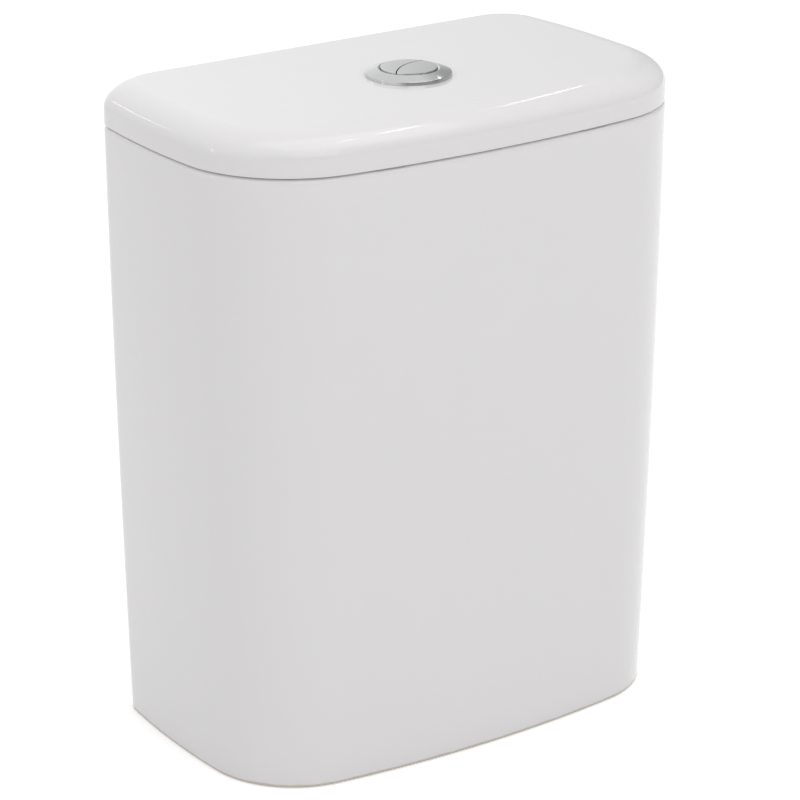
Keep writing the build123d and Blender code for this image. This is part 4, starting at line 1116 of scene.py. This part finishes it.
def make_floor():
    """White floor that keeps a faint shadow, and isn't seen from below."""
    half, drop, floor_white, floor_glow = 8.0, 0.0004, (0.8, 0.8, 0.8, 1), 0.42
    mesh = bpy.data.meshes.new("studio_floor")
    mesh.from_pydata(
        [(-half, -half, -drop), (half, -half, -drop), (half, half, -drop), (-half, half, -drop)],
        [], [(0, 1, 2, 3)],
    )
    floor = bpy.data.objects.new("studio_floor", mesh)
    bpy.context.scene.collection.objects.link(floor)
    material = bpy.data.materials.new("studio_white")
    material.use_nodes = True
    tree = material.node_tree
    tree.nodes.remove(tree.nodes["Principled BSDF"])
    plain = tree.nodes.new("ShaderNodeBsdfDiffuse")
    feed(tree, plain.inputs["Color"], floor_white)
    rays = tree.nodes.new("ShaderNodeLightPath").outputs
    seen = add_math(tree, "MAXIMUM", rays["Is Camera Ray"], rays["Is Glossy Ray"])
    seen = add_math(tree, "MAXIMUM", seen, rays["Is Transmission Ray"])
    lift = tree.nodes.new("ShaderNodeEmission")
    feed(tree, lift.inputs["Strength"], add_math(tree, "MULTIPLY", seen, floor_glow))
    total = tree.nodes.new("ShaderNodeAddShader")
    feed(tree, total.inputs[0], plain.outputs[0])
    feed(tree, total.inputs[1], lift.outputs[0])
    under = tree.nodes.new("ShaderNodeBsdfTransparent")
    facing = tree.nodes.new("ShaderNodeNewGeometry")
    choice = tree.nodes.new("ShaderNodeMixShader")
    feed(tree, choice.inputs[0], facing.outputs["Backfacing"])
    feed(tree, choice.inputs[1], total.outputs[0])
    feed(tree, choice.inputs[2], under.outputs[0])
    feed(tree, tree.nodes["Material Output"].inputs["Surface"], choice.outputs[0])
    mesh.materials.append(material)


def make_world():
    """Soft even studio light, seen as white, with greyer sides to the right and front in reflections."""
    even_light, seen_light = 0.74, 1.0
    right_turn, right_light = (0.47, 0.7), (1.08, 0.53)
    front_turn, front_light = (-0.8, -0.35), (0.4, 1.0)
    world = bpy.data.worlds.new("studio")
    bpy.context.scene.world = world
    world.use_nodes = True
    tree = world.node_tree
    rays = tree.nodes.new("ShaderNodeLightPath").outputs
    coords = tree.nodes.new("ShaderNodeTexCoord")
    split = tree.nodes.new("ShaderNodeSeparateXYZ")
    feed(tree, split.inputs[0], coords.outputs["Generated"])
    to_right = add_range(tree, split.outputs["X"], right_turn, right_light)
    to_front = add_range(tree, split.outputs["Y"], front_turn, front_light)
    mirrored = add_math(tree, "MULTIPLY", to_right, to_front)
    strength = add_range(tree, rays["Is Glossy Ray"], (0.0, 1.0), (even_light, mirrored))
    seen = add_math(tree, "MAXIMUM", rays["Is Camera Ray"], rays["Is Transmission Ray"])
    strength = add_range(tree, seen, (0.0, 1.0), (strength, seen_light))
    feed(tree, tree.nodes["Background"].inputs["Strength"], strength)
    feed(tree, tree.nodes["Background"].inputs["Color"], (1, 1, 1, 1))


make_floor()
make_world()
add_strip("top_softbox", (-1.0, -0.6, 2.7), (1.4, -0.6, 2.7), width=2.4, power=12.0)
add_strip("front_softbox", (-1.9, -2.8, 2.1), (0.7, -3.0, 2.1), width=1.8, power=11.0)
add_strip("front_streak_left", (0.72, -0.66, 2.6), (0.96, -0.28, 2.6), width=0.05, power=0.4)
add_strip("front_streak_middle", (1.07, -0.11, 2.6), (1.24, 0.16, 2.6), width=0.05, power=0.3)
add_strip("front_streak_right", (1.6, 0.86, 2.47), (2.0, 1.44, 2.4), width=0.035, power=0.36)
add_strip("left_streak", (-0.85, 2.81, 1.41), (-1.38, 2.44, 1.67), width=0.05, power=0.5)
add_strip("corner_streak", (-2.6, 0.95, 1.35), (-2.7, 0.75, 0.75), width=0.08, power=0.8)

bpy.context.scene.view_settings.view_transform = "Standard"
